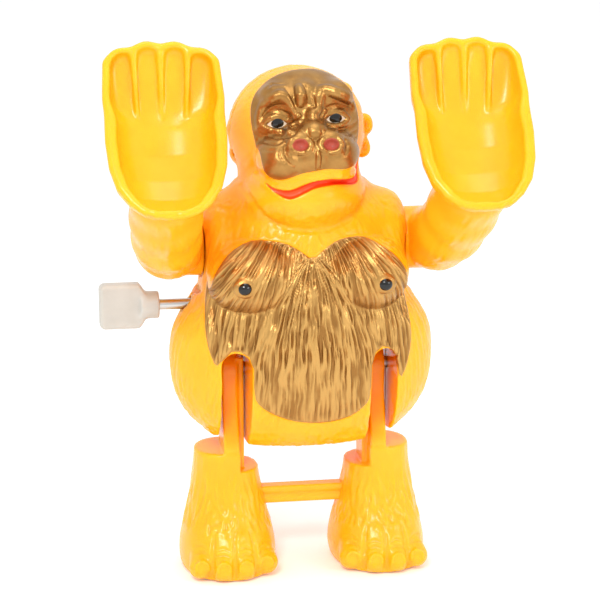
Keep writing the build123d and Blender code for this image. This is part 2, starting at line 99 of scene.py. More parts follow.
def to_segment(x, y, z, a, b):
    """How far along from a to b each point lies, from 0 to 1, and how far off."""
    ab = b - a
    t = ((x - a[0]) * ab[0] + (y - a[1]) * ab[1] + (z - a[2]) * ab[2]) / max(float(ab @ ab), 1e-9)
    t = np.clip(t, 0, 1)
    off = (x - a[0] - t * ab[0]) ** 2 + (y - a[1] - t * ab[1]) ** 2 + (z - a[2] - t * ab[2]) ** 2
    return t, np.sqrt(off)


class Clay:
    """A block of clay: a distance field on a grid, negative inside."""

    def __init__(self, low, high, step):
        self.low, self.step = np.array(low, float), step
        n = np.ceil((np.array(high) - self.low) / step).astype(int) + 1
        self.ax = [(self.low[i] + step * np.arange(n[i])).astype(np.float32) for i in range(3)]
        self.f = np.full(tuple(n), 6.0, np.float32)

    def window(self, low=None, high=None):
        cut = []
        for i in range(3):
            a = 0 if low is None else int(np.searchsorted(self.ax[i], low[i]))
            b = len(self.ax[i]) if high is None else int(np.searchsorted(self.ax[i], high[i]))
            cut.append(slice(max(a - 1, 0), max(b + 1, 1)))
        x, y, z = (self.ax[i][cut[i]].reshape([-1 if j == i else 1 for j in range(3)]) for i in range(3))
        return tuple(cut), x, y, z

    def apply(self, field, cut, k, dig):
        if field.size == 0:
            return
        old = self.f[cut]
        self.f[cut] = smax(old, -field, k) if dig else smin(old, field, k)

    def egg(self, c, r, rot=None, k=1.0, dig=False):
        reach = max(r) + 2 + k if rot is not None else None
        span = np.array([reach] * 3) if reach else np.array(r) + 2 + k
        cut, x, y, z = self.window(np.array(c) - span, np.array(c) + span)
        x, y, z = x - c[0], y - c[1], z - c[2]
        if rot is not None:
            m = rot.T.astype(np.float32)
            x, y, z = (m[i, 0] * x + m[i, 1] * y + m[i, 2] * z for i in range(3))
        k0 = np.sqrt((x / r[0]) ** 2 + (y / r[1]) ** 2 + (z / r[2]) ** 2)
        k1 = np.sqrt((x / r[0] ** 2) ** 2 + (y / r[1] ** 2) ** 2 + (z / r[2] ** 2) ** 2) + 1e-6
        self.apply(k0 * (k0 - 1) / k1, cut, k, dig)

    def rod(self, points, radii, k=0.6, dig=False, joint_k=0.0):
        """Round-ended rods through the points."""
        if not hasattr(radii, "__len__"):
            radii = [radii] * len(points)
        p = np.array(points, float)
        span = max(radii) + 2 + k
        cut, x, y, z = self.window(p.min(0) - span, p.max(0) + span)
        best = None
        for a, b, ra, rb in zip(p[:-1], p[1:], radii[:-1], radii[1:]):
            t, d = to_segment(x, y, z, a, b)
            d = d - (ra + (rb - ra) * t)
            best = d if best is None else smin(best, d, joint_k)
        self.apply(best, cut, k, dig)

    def front(self, x, z):
        """The y of the surface that faces the front at (x, z)."""
        i = int(round((x - self.low[0]) / self.step))
        j = int(round((z - self.low[2]) / self.step))
        row = self.f[i, :, j]
        hit = np.nonzero(row < 0)[0]
        if len(hit) == 0:
            return 0.0
        n = max(hit[0], 1)
        a, b = row[n - 1], row[n]
        return float(self.ax[1][n - 1] + self.step * a / (a - b))

    def line(self, path, radii, rise=0.0, k=0.4, dig=False):
        """A raised or sunk line that follows the front surface through (x, z) points."""
        p = np.array(path, float)
        r = np.array(radii if hasattr(radii, "__len__") else [radii] * len(p), float)
        u = np.linspace(0, len(p) - 1, (len(p) - 1) * 3 + 1)
        dense = np.stack([curve(u, p[:, 0]), curve(u, p[:, 1]), curve(u, r)], 1)
        points = [(x, self.front(x, z) - rise, z) for x, z, _ in dense]
        self.rod(points, np.maximum(dense[:, 2], 0.12), k=k, dig=dig, joint_k=0.1)

    def drum(self, axis, c, r, a, b, k=0.3, dig=False):
        """A cylinder along an axis (0, 1 or 2) from a to b, about the point c."""
        low, high = np.array(c, float) - r - 2 - k, np.array(c, float) + r + 2 + k
        low[axis], high[axis] = a - 2 - k, b + 2 + k
        cut, x, y, z = self.window(low, high)
        p = [x - c[0], y - c[1], z - c[2]]
        along = (x, y, z)[axis]
        p.pop(axis)
        d = smax(np.sqrt(p[0] ** 2 + p[1] ** 2) - r, np.abs(along - (a + b) / 2) - (b - a) / 2, 0.25)
        self.apply(d, cut, k, dig)

    def brick(self, low, high, round_=0.3, k=0.2, dig=False):
        low, high = np.array(low, float), np.array(high, float)
        cut, x, y, z = self.window(low - 2 - k, high + 2 + k)
        c, h = (low + high) / 2, (high - low) / 2 - round_
        q = [np.abs(v - c[i]) - h[i] for i, v in enumerate((x, y, z))]
        out = np.sqrt(sum(np.maximum(v, 0) ** 2 for v in q))
        d = out + np.minimum(np.maximum(np.maximum(q[0], q[1]), q[2]), 0) - round_
        self.apply(d, cut, k, dig)

    def sample(self, p):
        """Field value and gradient at points, by trilinear interpolation."""
        g = (p - self.low) / self.step
        g = np.clip(g, 0.001, np.array(self.f.shape) - 1.001)
        i = np.floor(g).astype(np.int32)
        t = g - i
        v = np.zeros((2, 2, 2, len(p)), np.float32)
        for a in (0, 1):
            for b in (0, 1):
                for c in (0, 1):
                    v[a, b, c] = self.f[i[:, 0] + a, i[:, 1] + b, i[:, 2] + c]
        tx, ty, tz = t.T
        vx = v[0] * (1 - tx) + v[1] * tx
        vxy = vx[0] * (1 - ty) + vx[1] * ty
        value = vxy[0] * (1 - tz) + vxy[1] * tz
        dz = vxy[1] - vxy[0]
        dy = (vx[1] - vx[0])[0] * (1 - tz) + (vx[1] - vx[0])[1] * tz
        d = v[1] - v[0]
        dd = d[0] * (1 - ty) + d[1] * ty
        dx = dd[0] * (1 - tz) + dd[1] * tz
        return value, np.stack([dx, dy, dz], 1) / self.step

    def mesh(self, relax=3):
        """Vertices and quads of the zero surface."""
        f, inside = self.f, self.f < 0
        count = np.zeros(tuple(s - 1 for s in f.shape), np.uint8)
        corners = [(a, b, c) for a in (0, 1) for b in (0, 1) for c in (0, 1)]
        for a, b, c in corners:
            count += inside[a : f.shape[0] - 1 + a, b : f.shape[1] - 1 + b, c : f.shape[2] - 1 + c]
        active = (count > 0) & (count < 8)
        cells = np.argwhere(active)
        index = np.full(count.shape, -1, np.int32)
        index[active] = np.arange(len(cells))
        total, hits = np.zeros((len(cells), 3)), np.zeros(len(cells))
        for s in corners:
            for axis in range(3):
                if s[axis]:
                    continue
                e = list(s)
                e[axis] = 1
                fa = f[cells[:, 0] + s[0], cells[:, 1] + s[1], cells[:, 2] + s[2]]
                fb = f[cells[:, 0] + e[0], cells[:, 1] + e[1], cells[:, 2] + e[2]]
                m = (fa < 0) != (fb < 0)
                t = fa[m] / (fa[m] - fb[m])
                total[m] += np.array(s) + t[:, None] * (np.array(e) - np.array(s))
                hits[m] += 1
        v = (cells + total / hits[:, None]) * self.step + self.low
        quads = []
        for axis in range(3):
            o1, o2 = (axis + 1) % 3, (axis + 2) % 3
            a = np.take(inside, range(f.shape[axis] - 1), axis)
            b = np.take(inside, range(1, f.shape[axis]), axis)
            e = np.argwhere(a != b)
            whole = (e[:, o1] > 0) & (e[:, o1] < f.shape[o1] - 1)
            whole &= (e[:, o2] > 0) & (e[:, o2] < f.shape[o2] - 1)
            e = e[whole]
            flip = a[e[:, 0], e[:, 1], e[:, 2]]
            ids = []
            for d1, d2 in ((-1, -1), (0, -1), (0, 0), (-1, 0)):
                q = e.copy()
                q[:, o1] += d1
                q[:, o2] += d2
                ids.append(index[q[:, 0], q[:, 1], q[:, 2]])
            q = np.stack(ids, 1)
            q[~flip] = q[~flip][:, ::-1]
            quads.append(q)
        q = np.concatenate(quads)
        for _ in range(relax):
            n = len(v)
            mean, degree = np.zeros((n, 3)), np.zeros(n)
            for i in range(4):
                j = (i + 1) % 4
                for a, b in ((i, j), (j, i)):
                    degree += np.bincount(q[:, a], minlength=n)
                    for c in range(3):
                        mean[:, c] += np.bincount(q[:, a], weights=v[q[:, b], c], minlength=n)
            v = v + 0.6 * (mean / degree[:, None] - v)
            for _ in range(2):
                value, grad = self.sample(v)
                size = np.maximum((grad**2).sum(1), 0.15)
                v = v - np.clip(value / size, -self.step, self.step)[:, None] * grad
        return v, q


def normals(v, q):
    n = np.cross(v[q[:, 2]] - v[q[:, 0]], v[q[:, 3]] - v[q[:, 1]])
    out = np.zeros_like(v)
    for i in range(4):
        for c in range(3):
            out[:, c] += np.bincount(q[:, i], weights=n[:, c], minlength=len(v))
    return out / np.maximum(np.linalg.norm(out, axis=1), 1e-9)[:, None]


# --- hair and noise
def _hash(*k):
    h = np.zeros_like(k[0])
    for i, v in enumerate(k):
        h = h + v * (374761393, 668265263, 1274126177, 1013904223)[i]
    h &= 0xFFFFFFFF
    h = ((h ^ (h >> 13)) * 1274126177) & 0xFFFFFFFF
    return ((h ^ (h >> 16)) & 0xFFFF) / 65535.0


def noise(p, seed=0):
    """Value noise between 0 and 1 at points, one lattice cell per unit."""
    base = np.floor(p).astype(np.int64)
    t = p - base
    t = t * t * (3 - 2 * t)
    total = 0
    dims = p.shape[1]
    for corner in range(2**dims):
        w, key = 1.0, []
        for d in range(dims):
            bit = corner >> d & 1
            w = w * (t[:, d] if bit else 1 - t[:, d])
            key.append(base[:, d] + bit)
        total = total + w * _hash(*key, np.full(len(p), seed, np.int64))
    return total


def hair(p, flow, width=0.7, length=3.2, seed=1, steps=7):
    """Height from about -1 to 1 of combed hair: noise drawn out along the flow."""
    total, weight = noise(p / width, seed), 1.0
    for sign in (-1, 1):
        q = p.copy()
        for i in range(1, steps + 1):
            q = q + sign * flow(q) * (length / steps)
            w = 0.5 + 0.5 * math.cos(math.pi * i / (steps + 1))
            total, weight = total + w * noise(q / width, seed), weight + w
    return np.tanh((total / weight - 0.5) * 9.0)


# --- objects
def to_metres(v):
    w = np.asarray(v, float).copy()
    w[:, 1] += MID_Y
    return w / 1000


def add_object(name, data):
    o = bpy.data.objects.new(name, data)
    bpy.context.scene.collection.objects.link(o)
    return o


def add_attributes(mesh, attributes):
    for key, values in attributes.items():
        a = mesh.attributes.new(key, "FLOAT", "POINT")
        a.data.foreach_set("value", np.asarray(values, np.float32))


def make_object(name, v, q, attributes=None):
    mesh = bpy.data.meshes.new(name)
    mesh.from_pydata(to_metres(v), [], q.tolist())
    mesh.update()
    add_attributes(mesh, attributes or {})
    mesh.shade_smooth()
    return add_object(name, mesh)


def refine(o, v, depth):
    """Splits the faces under the painted chest and the face mask, so that they hold fine relief."""
    x, y, z = v.T
    pick = (y < -1) & (depth(v) > -0.4)
    chest = (z < 65.5) & (z > 30) & (np.abs(x) < 19.5)
    face = (z > 72) & (z < 95) & (np.abs(x) < 11) & (y < -3)
    pick &= chest | face
    bm = bmesh.new()
    bm.from_mesh(o.data)
    chosen = pick.tolist()
    edges = [e for e in bm.edges if chosen[e.verts[0].index] and chosen[e.verts[1].index]]
    bmesh.ops.subdivide_edges(bm, edges=edges, cuts=1, use_grid_fill=True)
    bm.to_mesh(o.data)
    bm.free()
    o.data.shade_smooth()


def thin_out(o, keep_mask, kept_share):
    """Fewer faces where nobody looks: only kept_share of those outside keep_mask stay."""
    g = o.vertex_groups.new(name="hidden")
    g.add(np.nonzero(~keep_mask)[0].tolist(), 1.0, "REPLACE")
    m = o.modifiers.new("thin", "DECIMATE")
    m.ratio = 1 - (1 - kept_share) * float((~keep_mask).mean())
    m.vertex_group = "hidden"
    bpy.context.view_layer.objects.active = o
    bpy.ops.object.modifier_apply(modifier="thin")
    o.vertex_groups.clear()


def polygon_distance(x, z, outline):
    """Distance to a closed outline, positive inside."""
    pts = np.array(outline, float)
    best = np.full(x.shape, 1e9)
    inside = np.zeros(x.shape, bool)
    for a, b in zip(pts, np.roll(pts, -1, 0)):
        ab = b - a
        t = np.clip(((x - a[0]) * ab[0] + (z - a[1]) * ab[1]) / max(ab @ ab, 1e-9), 0, 1)
        best = np.minimum(best, (x - a[0] - t * ab[0]) ** 2 + (z - a[1] - t * ab[1]) ** 2)
        cross = ((a[1] > z) != (b[1] > z)) & (x < (b[0] - a[0]) * (z - a[1]) / (b[1] - a[1] + 1e-12) + a[0])
        inside ^= cross
    return np.where(inside, 1, -1) * np.sqrt(best)


def rounded(points, passes=2):
    """Corner cutting of a closed outline."""
    p = np.array(points, float)
    for _ in range(passes):
        n = np.roll(p, -1, 0)
        p = np.stack([p * 0.75 + n * 0.25, p * 0.25 + n * 0.75], 1).reshape(-1, 2)
    return p


# --- body
WALL = 1.6
SLOT_IN, SLOT_OUT, SLOT_TOP = 11.0, 16.3, 43.9
STEP = 0.29
# Height, half width, reach to the front, reach to the back
TORSO = np.array([
    (23.9, 11.0, 5.2, 5.2), (24.6, 14.6, 8.2, 7.8), (25.8, 17.4, 10.4, 9.6), (27.5, 19.4, 12.0, 11.0),
    (30.0, 21.8, 13.5, 12.4), (33.5, 23.7, 14.7, 13.4), (38.0, 24.7, 15.3, 13.9), (42.5, 24.8, 15.5, 14.1),
    (46.5, 24.1, 15.5, 14.1), (49.5, 22.6, 15.3, 13.9), (52.0, 20.9, 15.0, 13.5), (55.0, 19.7, 14.5, 13.2),
    (58.5, 18.9, 13.9, 12.9), (62.0, 18.6, 13.0, 12.5), (66.0, 18.3, 11.9, 11.7), (69.0, 17.3, 10.6, 10.9),
    (71.0, 15.4, 9.2, 9.9), (72.6, 12.6, 7.6, 8.6), (73.8, 9.0, 5.4, 6.6)])


def smooth_table(table, z):
    """Catmull-Rom interpolation of the table's columns at the heights z."""
    h = table[:, 0]
    slopes = np.gradient(table[:, 1:], h, axis=0)
    i = np.clip(np.searchsorted(h, z) - 1, 0, len(h) - 2)
    d = (h[i + 1] - h[i])[:, None]
    t = np.clip((z - h[i])[:, None] / d, 0, 1)
    return hermite(t, table[i, 1:], table[i + 1, 1:], slopes[i] * d, slopes[i + 1] * d)


def torso_field(clay):
    cut, x, y, z = clay.window()
    rows = smooth_table(TORSO, z.ravel().astype(float)).astype(np.float32)
    half, front, back = (rows[:, i].reshape(1, 1, -1) for i in range(3))
    deep = np.where(y < 0, front, back)
    k0 = np.sqrt((x / half) ** 2 + (y / deep) ** 2)
    k1 = np.sqrt((x / half**2) ** 2 + (y / deep**2) ** 2) + 1e-6
    d = k0 * (k0 - 1) / k1
    slope = np.gradient(d, clay.step, axis=2)
    d = d / np.sqrt(1 + np.clip(slope, -3, 3) ** 2)
    d = smax(d, TORSO[0, 0] - z, 1.2)
    d = smax(d, z - TORSO[-1, 0], 1.2)
    return np.minimum(d, 6).astype(np.float32)


def sculpt_body():
    clay = Clay((-26.5, -18.8, 22.5), (26.5, 16.5, 96), STEP)
    clay.f = torso_field(clay)
    for s in (-1, 1):
        clay.egg((s * 9.9, -8.5, 57.5), (8.6, 8.2, 7.0), k=0.7)
        clay.egg((s * 16.2, 0.2, 63.8), (3.5, 8.3, 6.7), k=3)
    # neck, skull, jaw
    clay.egg((-0.3, -0.5, 72.5), (11.6, 9.8, 7.0), k=3)
    clay.egg((-0.7, 1.3, 82.3), (12.6, 12.0, 12.1), k=2.5)
    clay.egg((-0.2, -2.6, 85.2), (10.7, 8.0, 8.6), k=1.6)
    clay.egg((-0.4, -4.6, 71.7), (11.4, 10.4, 6.6), turn(0, -3, 0), k=1.2)
    # brow
    clay.egg((-4.3, -6.4, 89.3), (4.2, 3.4, 2.4), turn(0, 14, 10), k=1.2)
    clay.egg((4.0, -6.4, 89.8), (4.4, 3.6, 2.4), turn(0, -12, -6), k=1.0)
    clay.egg((-0.5, -7.0, 89.6), (2.7, 3.4, 2.8), k=0.8)
    # eye sockets
    clay.egg((-5.8, -11.4, 85.6), (3.4, 3.0, 2.0), turn(0, -4, 0), k=0.9, dig=True)
    clay.egg((4.9, -11.4, 86.2), (3.4, 3.0, 2.0), turn(0, -4, 0), k=0.9, dig=True)
    # muzzle and nose
    clay.egg((-0.1, -8.6, 79.3), (9.1, 6.6, 4.7), turn(0, -4, 0), k=1.5)
    clay.egg((-5.2, -10.1, 78.9), (4.5, 5.6, 4.2), k=0.8)
    clay.egg((4.5, -10.0, 79.5), (4.1, 5.6, 4.1), k=0.8)
    clay.egg((0.2, -11.0, 79.7), (3.4, 4.9, 3.6), k=1.0)
    clay.egg((0.4, -9.6, 86.6), (1.3, 2.5, 1.4), k=0.6)
    clay.egg((0.3, -11.6, 84.0), (2.6, 3.3, 2.0), k=0.9)
    for x in NOSTRILS:
        clay.egg((x, -12.4, 82.3), (2.8, 3.0, 2.2), k=0.5)
    # upper lip over the chin
    clay.line([(-9.3, 75.3), (-7.4, 74.7), (-4.4, 74.9), (0.2, 76.2), (4.5, 76.6), (8.0, 76.1)],
              [0.8, 1.2, 1.3, 1.25, 1.2, 0.9], rise=-0.1, k=0.9)
    return clay


EYES = ((-5.7, 85.15), (4.8, 85.85))
NOSTRILS, NOSTRIL_Z = (-2.5, 3.0), 82.0
NIPPLE_X, NIPPLE_Z = 12.7, 56.8
# Mouth: middle of the painted line as (x, z), with half its height
MOUTH = np.array([(-8.3, 74.9, 0.05), (-6.8, 73.7, 0.35), (-4.3, 73.0, 0.8), (-1.6, 74.0, 0.75), (0.6, 74.8, 0.7),
                  (4.5, 75.1, 0.65), (8.3, 74.7, 0.6), (9.7, 75.9, 0.5), (10.5, 77.8, 0.2)])


def finish_body(clay):
    for x, z in EYES:
        clay.egg((x, -6.6, z), (2.6, 2.8, 1.85), k=0.25)
        # lids
        left, right = (x - 2.7, z - 0.5), (x + 2.5, z - 0.2)
        clay.line([left, (x - 1.5, z + 0.75), (x, z + 1.2), (x + 1.4, z + 0.8), right],
                  [0.25, 0.4, 0.45, 0.4, 0.25], rise=0.1, k=0.3)
        clay.line([left, (x - 1.4, z - 1.15), (x, z - 1.35), (x + 1.5, z - 1.1), right],
                  [0.25, 0.36, 0.4, 0.36, 0.25], rise=0.1, k=0.3)
        clay.line([(x - 3.2, z + 0.6), (x - 1.6, z + 2.0), (x + 0.2, z + 2.35), (x + 1.9, z + 1.7)],
                  [0.15, 0.28, 0.3, 0.2], k=0.4, dig=True)
    for x in NOSTRILS:
        for s, end in ((-1, 0.4), (1, -0.2)):
            clay.line([(x + s * 1.5, 82.9), (x + s * 1.9, 81.9), (x + s * 1.2, 80.9), (x + end, 80.6)],
                      [0.3, 0.5, 0.45, 0.2], rise=0.1)
        clay.egg((x, clay.front(x, NOSTRIL_Z) - 0.5, NOSTRIL_Z), (1.5, 1.5, 1.15), k=0.3, dig=True)
    # brows, and the folds between them
    clay.line([(-8.9, 84.6), (-8.6, 87.0), (-7.3, 89.0), (-5.4, 90.2), (-3.9, 89.4), (-2.6, 87.0)],
              [0.3, 0.45, 0.6, 0.75, 0.75, 0.4], rise=0.05, k=0.9)
    clay.line([(1.4, 87.6), (1.8, 89.9), (2.8, 91.0), (5.2, 90.3), (7.2, 89.3), (8.2, 87.4)],
              [0.4, 0.7, 0.75, 0.75, 0.6, 0.35], rise=0.1, k=0.9)
    clay.line([(-1.8, 88.6), (-1.7, 90.2), (-1.9, 91.5)], [0.5, 0.85, 0.5], rise=0.15, k=0.5)
    for path, r in (([(-2.4, 87.3), (-3.0, 89.2), (-4.2, 91.2)], 0.36),
                    ([(-0.6, 88.0), (-0.3, 89.8), (-0.9, 91.8)], 0.32),
                    ([(0.9, 87.9), (0.6, 89.5), (-0.1, 91.2)], 0.28),
                    ([(-7.2, 91.2), (-5.9, 91.9), (-4.4, 91.9)], 0.22),
                    ([(3.9, 89.6), (6.0, 88.6), (7.6, 87.6)], 0.3),
                    ([(-4.6, 88.5), (-6.6, 88.1), (-8.3, 86.4)], 0.3)):
        clay.line(path, [r * 0.6, r, r * 0.5], k=0.35, dig=True)
    # creases under the eyes, over the cheeks and beside the nose
    for path, r in (([(-9.5, 83.4), (-6.6, 82.8), (-4.2, 83.4), (-2.4, 84.6)], 0.34),
                    ([(-9.0, 82.0), (-6.9, 81.9), (-5.2, 82.5)], 0.26), ([(-8.8, 80.8), (-7.2, 81.0)], 0.22),
                    ([(2.6, 84.9), (4.6, 84.0), (6.8, 84.0), (8.9, 84.8)], 0.34),
                    ([(5.9, 83.1), (7.4, 82.9), (9.0, 83.4)], 0.26), ([(7.2, 82.0), (8.8, 82.1)], 0.22),
                    ([(-4.9, 82.2), (-5.3, 80.9), (-4.5, 79.3), (-3.4, 78.4)], 0.36),
                    ([(-5.9, 81.4), (-6.2, 80.2), (-5.5, 79.0)], 0.22),
                    ([(5.5, 82.8), (5.9, 81.6), (5.4, 80.2)], 0.3),
                    ([(-1.0, 84.6), (-0.9, 83.3)], 0.3), ([(1.3, 84.8), (1.5, 83.5)], 0.26),
                    ([(0.1, 80.8), (0.2, 79.4), (0.1, 77.9)], 0.3), ([(1.0, 80.7), (1.1, 79.4), (1.0, 78.2)], 0.24)):
        n = len(path)
        clay.line(path, [r * 0.5] + [r] * (n - 2) + [r * 0.5], k=0.35, dig=True)
    for path in ([(-3.4, 85.6), (-2.2, 86.6)], [(-3.2, 84.9), (-1.9, 85.5)], [(2.0, 86.2), (2.6, 87.2)]):
        clay.line(path, [0.25, 0.4], rise=0.1, k=0.3)
    clay.line([(0.5, 80.7), (0.6, 79.4), (0.5, 78.0)], [0.25, 0.4, 0.25], rise=0.1, k=0.3)
    # mouth
    clay.line(MOUTH[:, :2], np.maximum(MOUTH[:, 2] * 0.85, 0.2), rise=-0.15, k=0.25, dig=True)
    # crease where the jaw meets the chest
    clay.line([(-11.6, 73.6), (-10.4, 71.2), (-8.3, 68.6), (-4.4, 66.6), (0.5, 66.0), (5.2, 66.8),
               (9.2, 69.4), (11.2, 72.4)], [0.2, 0.4, 0.45, 0.35, 0.3, 0.3, 0.3, 0.15], k=0.8, dig=True)
    # ears with two lobes
    for s, x in ((-1, -11.8), (1, 12.0)):
        clay.egg((x, 1.6, 83.0 + s * 0.2), (1.75, 1.5, 2.1), k=0.5)
        clay.egg((x - s * 0.2, 1.6, 78.7 + s * 0.2), (1.5, 1.4, 1.9), k=0.5)
        clay.egg((x - s * 0.7, 1.8, 80.9), (1.4, 1.5, 3.0), k=0.5)
        clay.egg((x + s * 0.3, 0.1, 83.0), (0.8, 0.7, 1.1), k=0.4, dig=True)
        clay.egg((x + s * 0.1, 0.2, 78.9), (0.7, 0.6, 1.0), k=0.4, dig=True)
    # nipples
    for s in (-1, 1):
        y = clay.front(s * NIPPLE_X, NIPPLE_Z)
        clay.egg((s * NIPPLE_X, y + 0.1, NIPPLE_Z), (1.8, 0.75, 1.6), k=0.4)
        clay.egg((s * NIPPLE_X, y - 0.35, NIPPLE_Z), (1.05, 0.8, 0.95), k=0.1)


# Screws in the back: x, z and the y of the seat
SCREWS = ((-20.3, 36.0, 4.2), (20.3, 36.0, 4.2), (0.0, 66.5, 7.5))


def open_body(clay, outer):
    """Cuts the cavity, the leg slots and all the holes, given a copy of the closed form."""
    cut, x, y, z = clay.window()
    cavity = outer + WALL
    for s in (-1, 1):
        cavity = np.maximum(cavity, np.minimum(np.minimum(s * x - (SLOT_IN - 1.15), SLOT_OUT + 1.15 - s * x),
                                               SLOT_TOP + 1.15 - z))
        disc = np.sqrt(y**2 + (z - SHOULDER_Z) ** 2)
        cavity = np.maximum(cavity, np.minimum(s * x - 16.9, 7.2 - disc))
        cavity = np.minimum(cavity, np.maximum(between(s * x, 13, 16.95), disc - 3.8))
    for px, pz, _ in SCREWS:
        cavity = np.maximum(cavity, 2.8 - np.sqrt((x - px) ** 2 + (z - pz) ** 2))
    # ribs that hold the motor plates
    for s in (-1, 1):
        rib = np.minimum(np.minimum(s * x - 8.3, 9.5 - s * x), np.minimum(z - 44, 53 - z))
        rib = np.minimum(rib, np.maximum(-10.1 - y, y - 9.3))
        cavity = np.maximum(cavity, rib)
    clay.f = np.maximum(outer, -cavity).astype(np.float32)
    for s in (-1, 1):
        mid, half = s * (SLOT_IN + SLOT_OUT) / 2, (SLOT_OUT - SLOT_IN) / 2
        top = SLOT_TOP - half
        arch = np.sqrt((x - mid) ** 2 + np.maximum(z - top, 0) ** 2) - half + y * 0
        clay.f = smax(clay.f, -arch, 0.35).astype(np.float32)
        # recess and relief for the arm, holes for its peg and for the hip axle
        for height, radius, near, far, k in ((SHOULDER_Z, 6.15, 18.5, 30, 0.3), (SHOULDER_Z, 9.2, 19.1, 30, 0.6),
                                             (SHOULDER_Z, 2.35, 15, 20, 0.1), (HIP_Z, 1.2, 9, 17.6, 0.1)):
            a, b = sorted((s * near, s * far))
            clay.drum(0, (0, 0, height), radius, a, b, k=k, dig=True)
    clay.drum(0, (0, 0, SHAFT_Z), 1.4, -30, -9, k=0.15, dig=True)
    for px, pz, seat in SCREWS:
        clay.drum(1, (px, 0, pz), 0.95, seat - 9, seat + 1, k=0.1, dig=True)
        clay.drum(1, (px, 0, pz), 2.0, seat, 20, k=0.2, dig=True)


# Outline of the painted chest, as (x, z)
LEFT = [(-2.4, 62.7), (-4.8, 64.0), (-8.4, 64.4), (-11.6, 64.1), (-14.6, 62.6), (-16.5, 60.4),
        (-17.6, 58.2), (-18.3, 54.7), (-18.8, 51.0), (-19.0, 47.5), (-18.4, 44.0), (-17.3, 41.2)]
RIGHT = [(16.6, 37.6), (17.8, 39.6), (18.8, 43.7), (18.9, 47.0), (18.3, 51.0), (17.8, 54.6), (17.3, 58.2),
         (15.9, 60.4), (14.0, 62.2), (10.6, 64.2), (7.5, 64.7), (4.6, 64.2), (2.4, 62.9)]
LOW = [(-16.3, 42.5), (-14.0, 45.0), (-10.7, 43.0), (-10.7, 36.0), (-9.6, 34.2), (-7.2, 32.6), (-3.8, 31.3),
       (0.4, 30.7), (4.4, 30.9), (7.6, 31.9), (9.8, 33.6), (10.7, 35.4), (10.8, 43.0), (13.6, 45.0), (16.2, 41.5)]
CHEST = [(0, 60.9)] + LEFT + LOW + RIGHT
# Outline of the painted face, as (x, z)
MASK = [(0.1, 94.1), (-2.9, 93.8), (-5.5, 92.9), (-7.4, 91.7), (-8.8, 90.3), (-9.7, 88.7), (-10.1, 86.9), (-10.0, 84.4),
        (-9.6, 82.4), (-9.2, 80.5), (-9.0, 78.6), (-8.5, 77.0), (-7.4, 76.0), (-5.8, 75.7), (-3.4, 76.4), (-0.6, 77.3),
        (2.4, 77.7), (5.6, 77.5), (7.6, 78.0), (8.7, 79.3), (9.3, 81.4), (9.5, 84.0), (9.2, 87.0), (8.3, 89.7),
        (7.0, 91.5), (5.3, 92.9), (2.7, 93.9)]


def strokes(across, along, width, length, seed):
    """Height from -1 to 1 of moulded hairs, given how far each point lies across and along them."""
    sway = noise(np.stack([along / 3.2, across / 2.4], 1), seed + 7) - 0.5
    a = across / width + 1.2 * sway
    tall = noise(np.stack([a, along / length], 1), seed)
    tall = 0.62 * tall + 0.38 * noise(np.stack([a * 2.1 + 3.3, along / (0.55 * length)], 1), seed + 1)
    return np.tanh((tall - 0.5) * 3.4)


def chest_hair(x, z):
    """The chest's hair falls from the collar on both sides, and fans out from the notch in the middle."""
    t = np.maximum(69.5 - z, 0.8)
    side = strokes(x / (1 - np.exp(-t / 9.5)), t, 0.42, 3.2, 31)
    t = np.maximum(61.7 - z, 0.02)
    fan = strokes(x / (1 - np.exp(-t / 9.0) + 0.05), t, 0.40, 3.6, 47)
    reach = 2.4 + 0.62 * np.maximum(61.0 - z, 0)
    w = smooth(reach + 1.2, reach - 1.2, np.abs(x)) * smooth(61.6, 60.6, z)
    return side * (1 - w) + fan * w


def body_flow(p):
    """Hair on the yellow body: falls and leans outward."""
    d = np.stack([0.25 * np.sign(p[:, 0]) * np.ones(len(p)), 0.15 * np.ones(len(p)), -np.ones(len(p))], 1)
    return d / np.linalg.norm(d, axis=1)[:, None]


def head_flow(p):
    """Hair on the head: combed back and down from the face."""
    d = np.stack([0.15 * p[:, 0] / 12, np.ones(len(p)), -0.5 * np.ones(len(p))], 1)
    return d / np.linalg.norm(d, axis=1)[:, None]


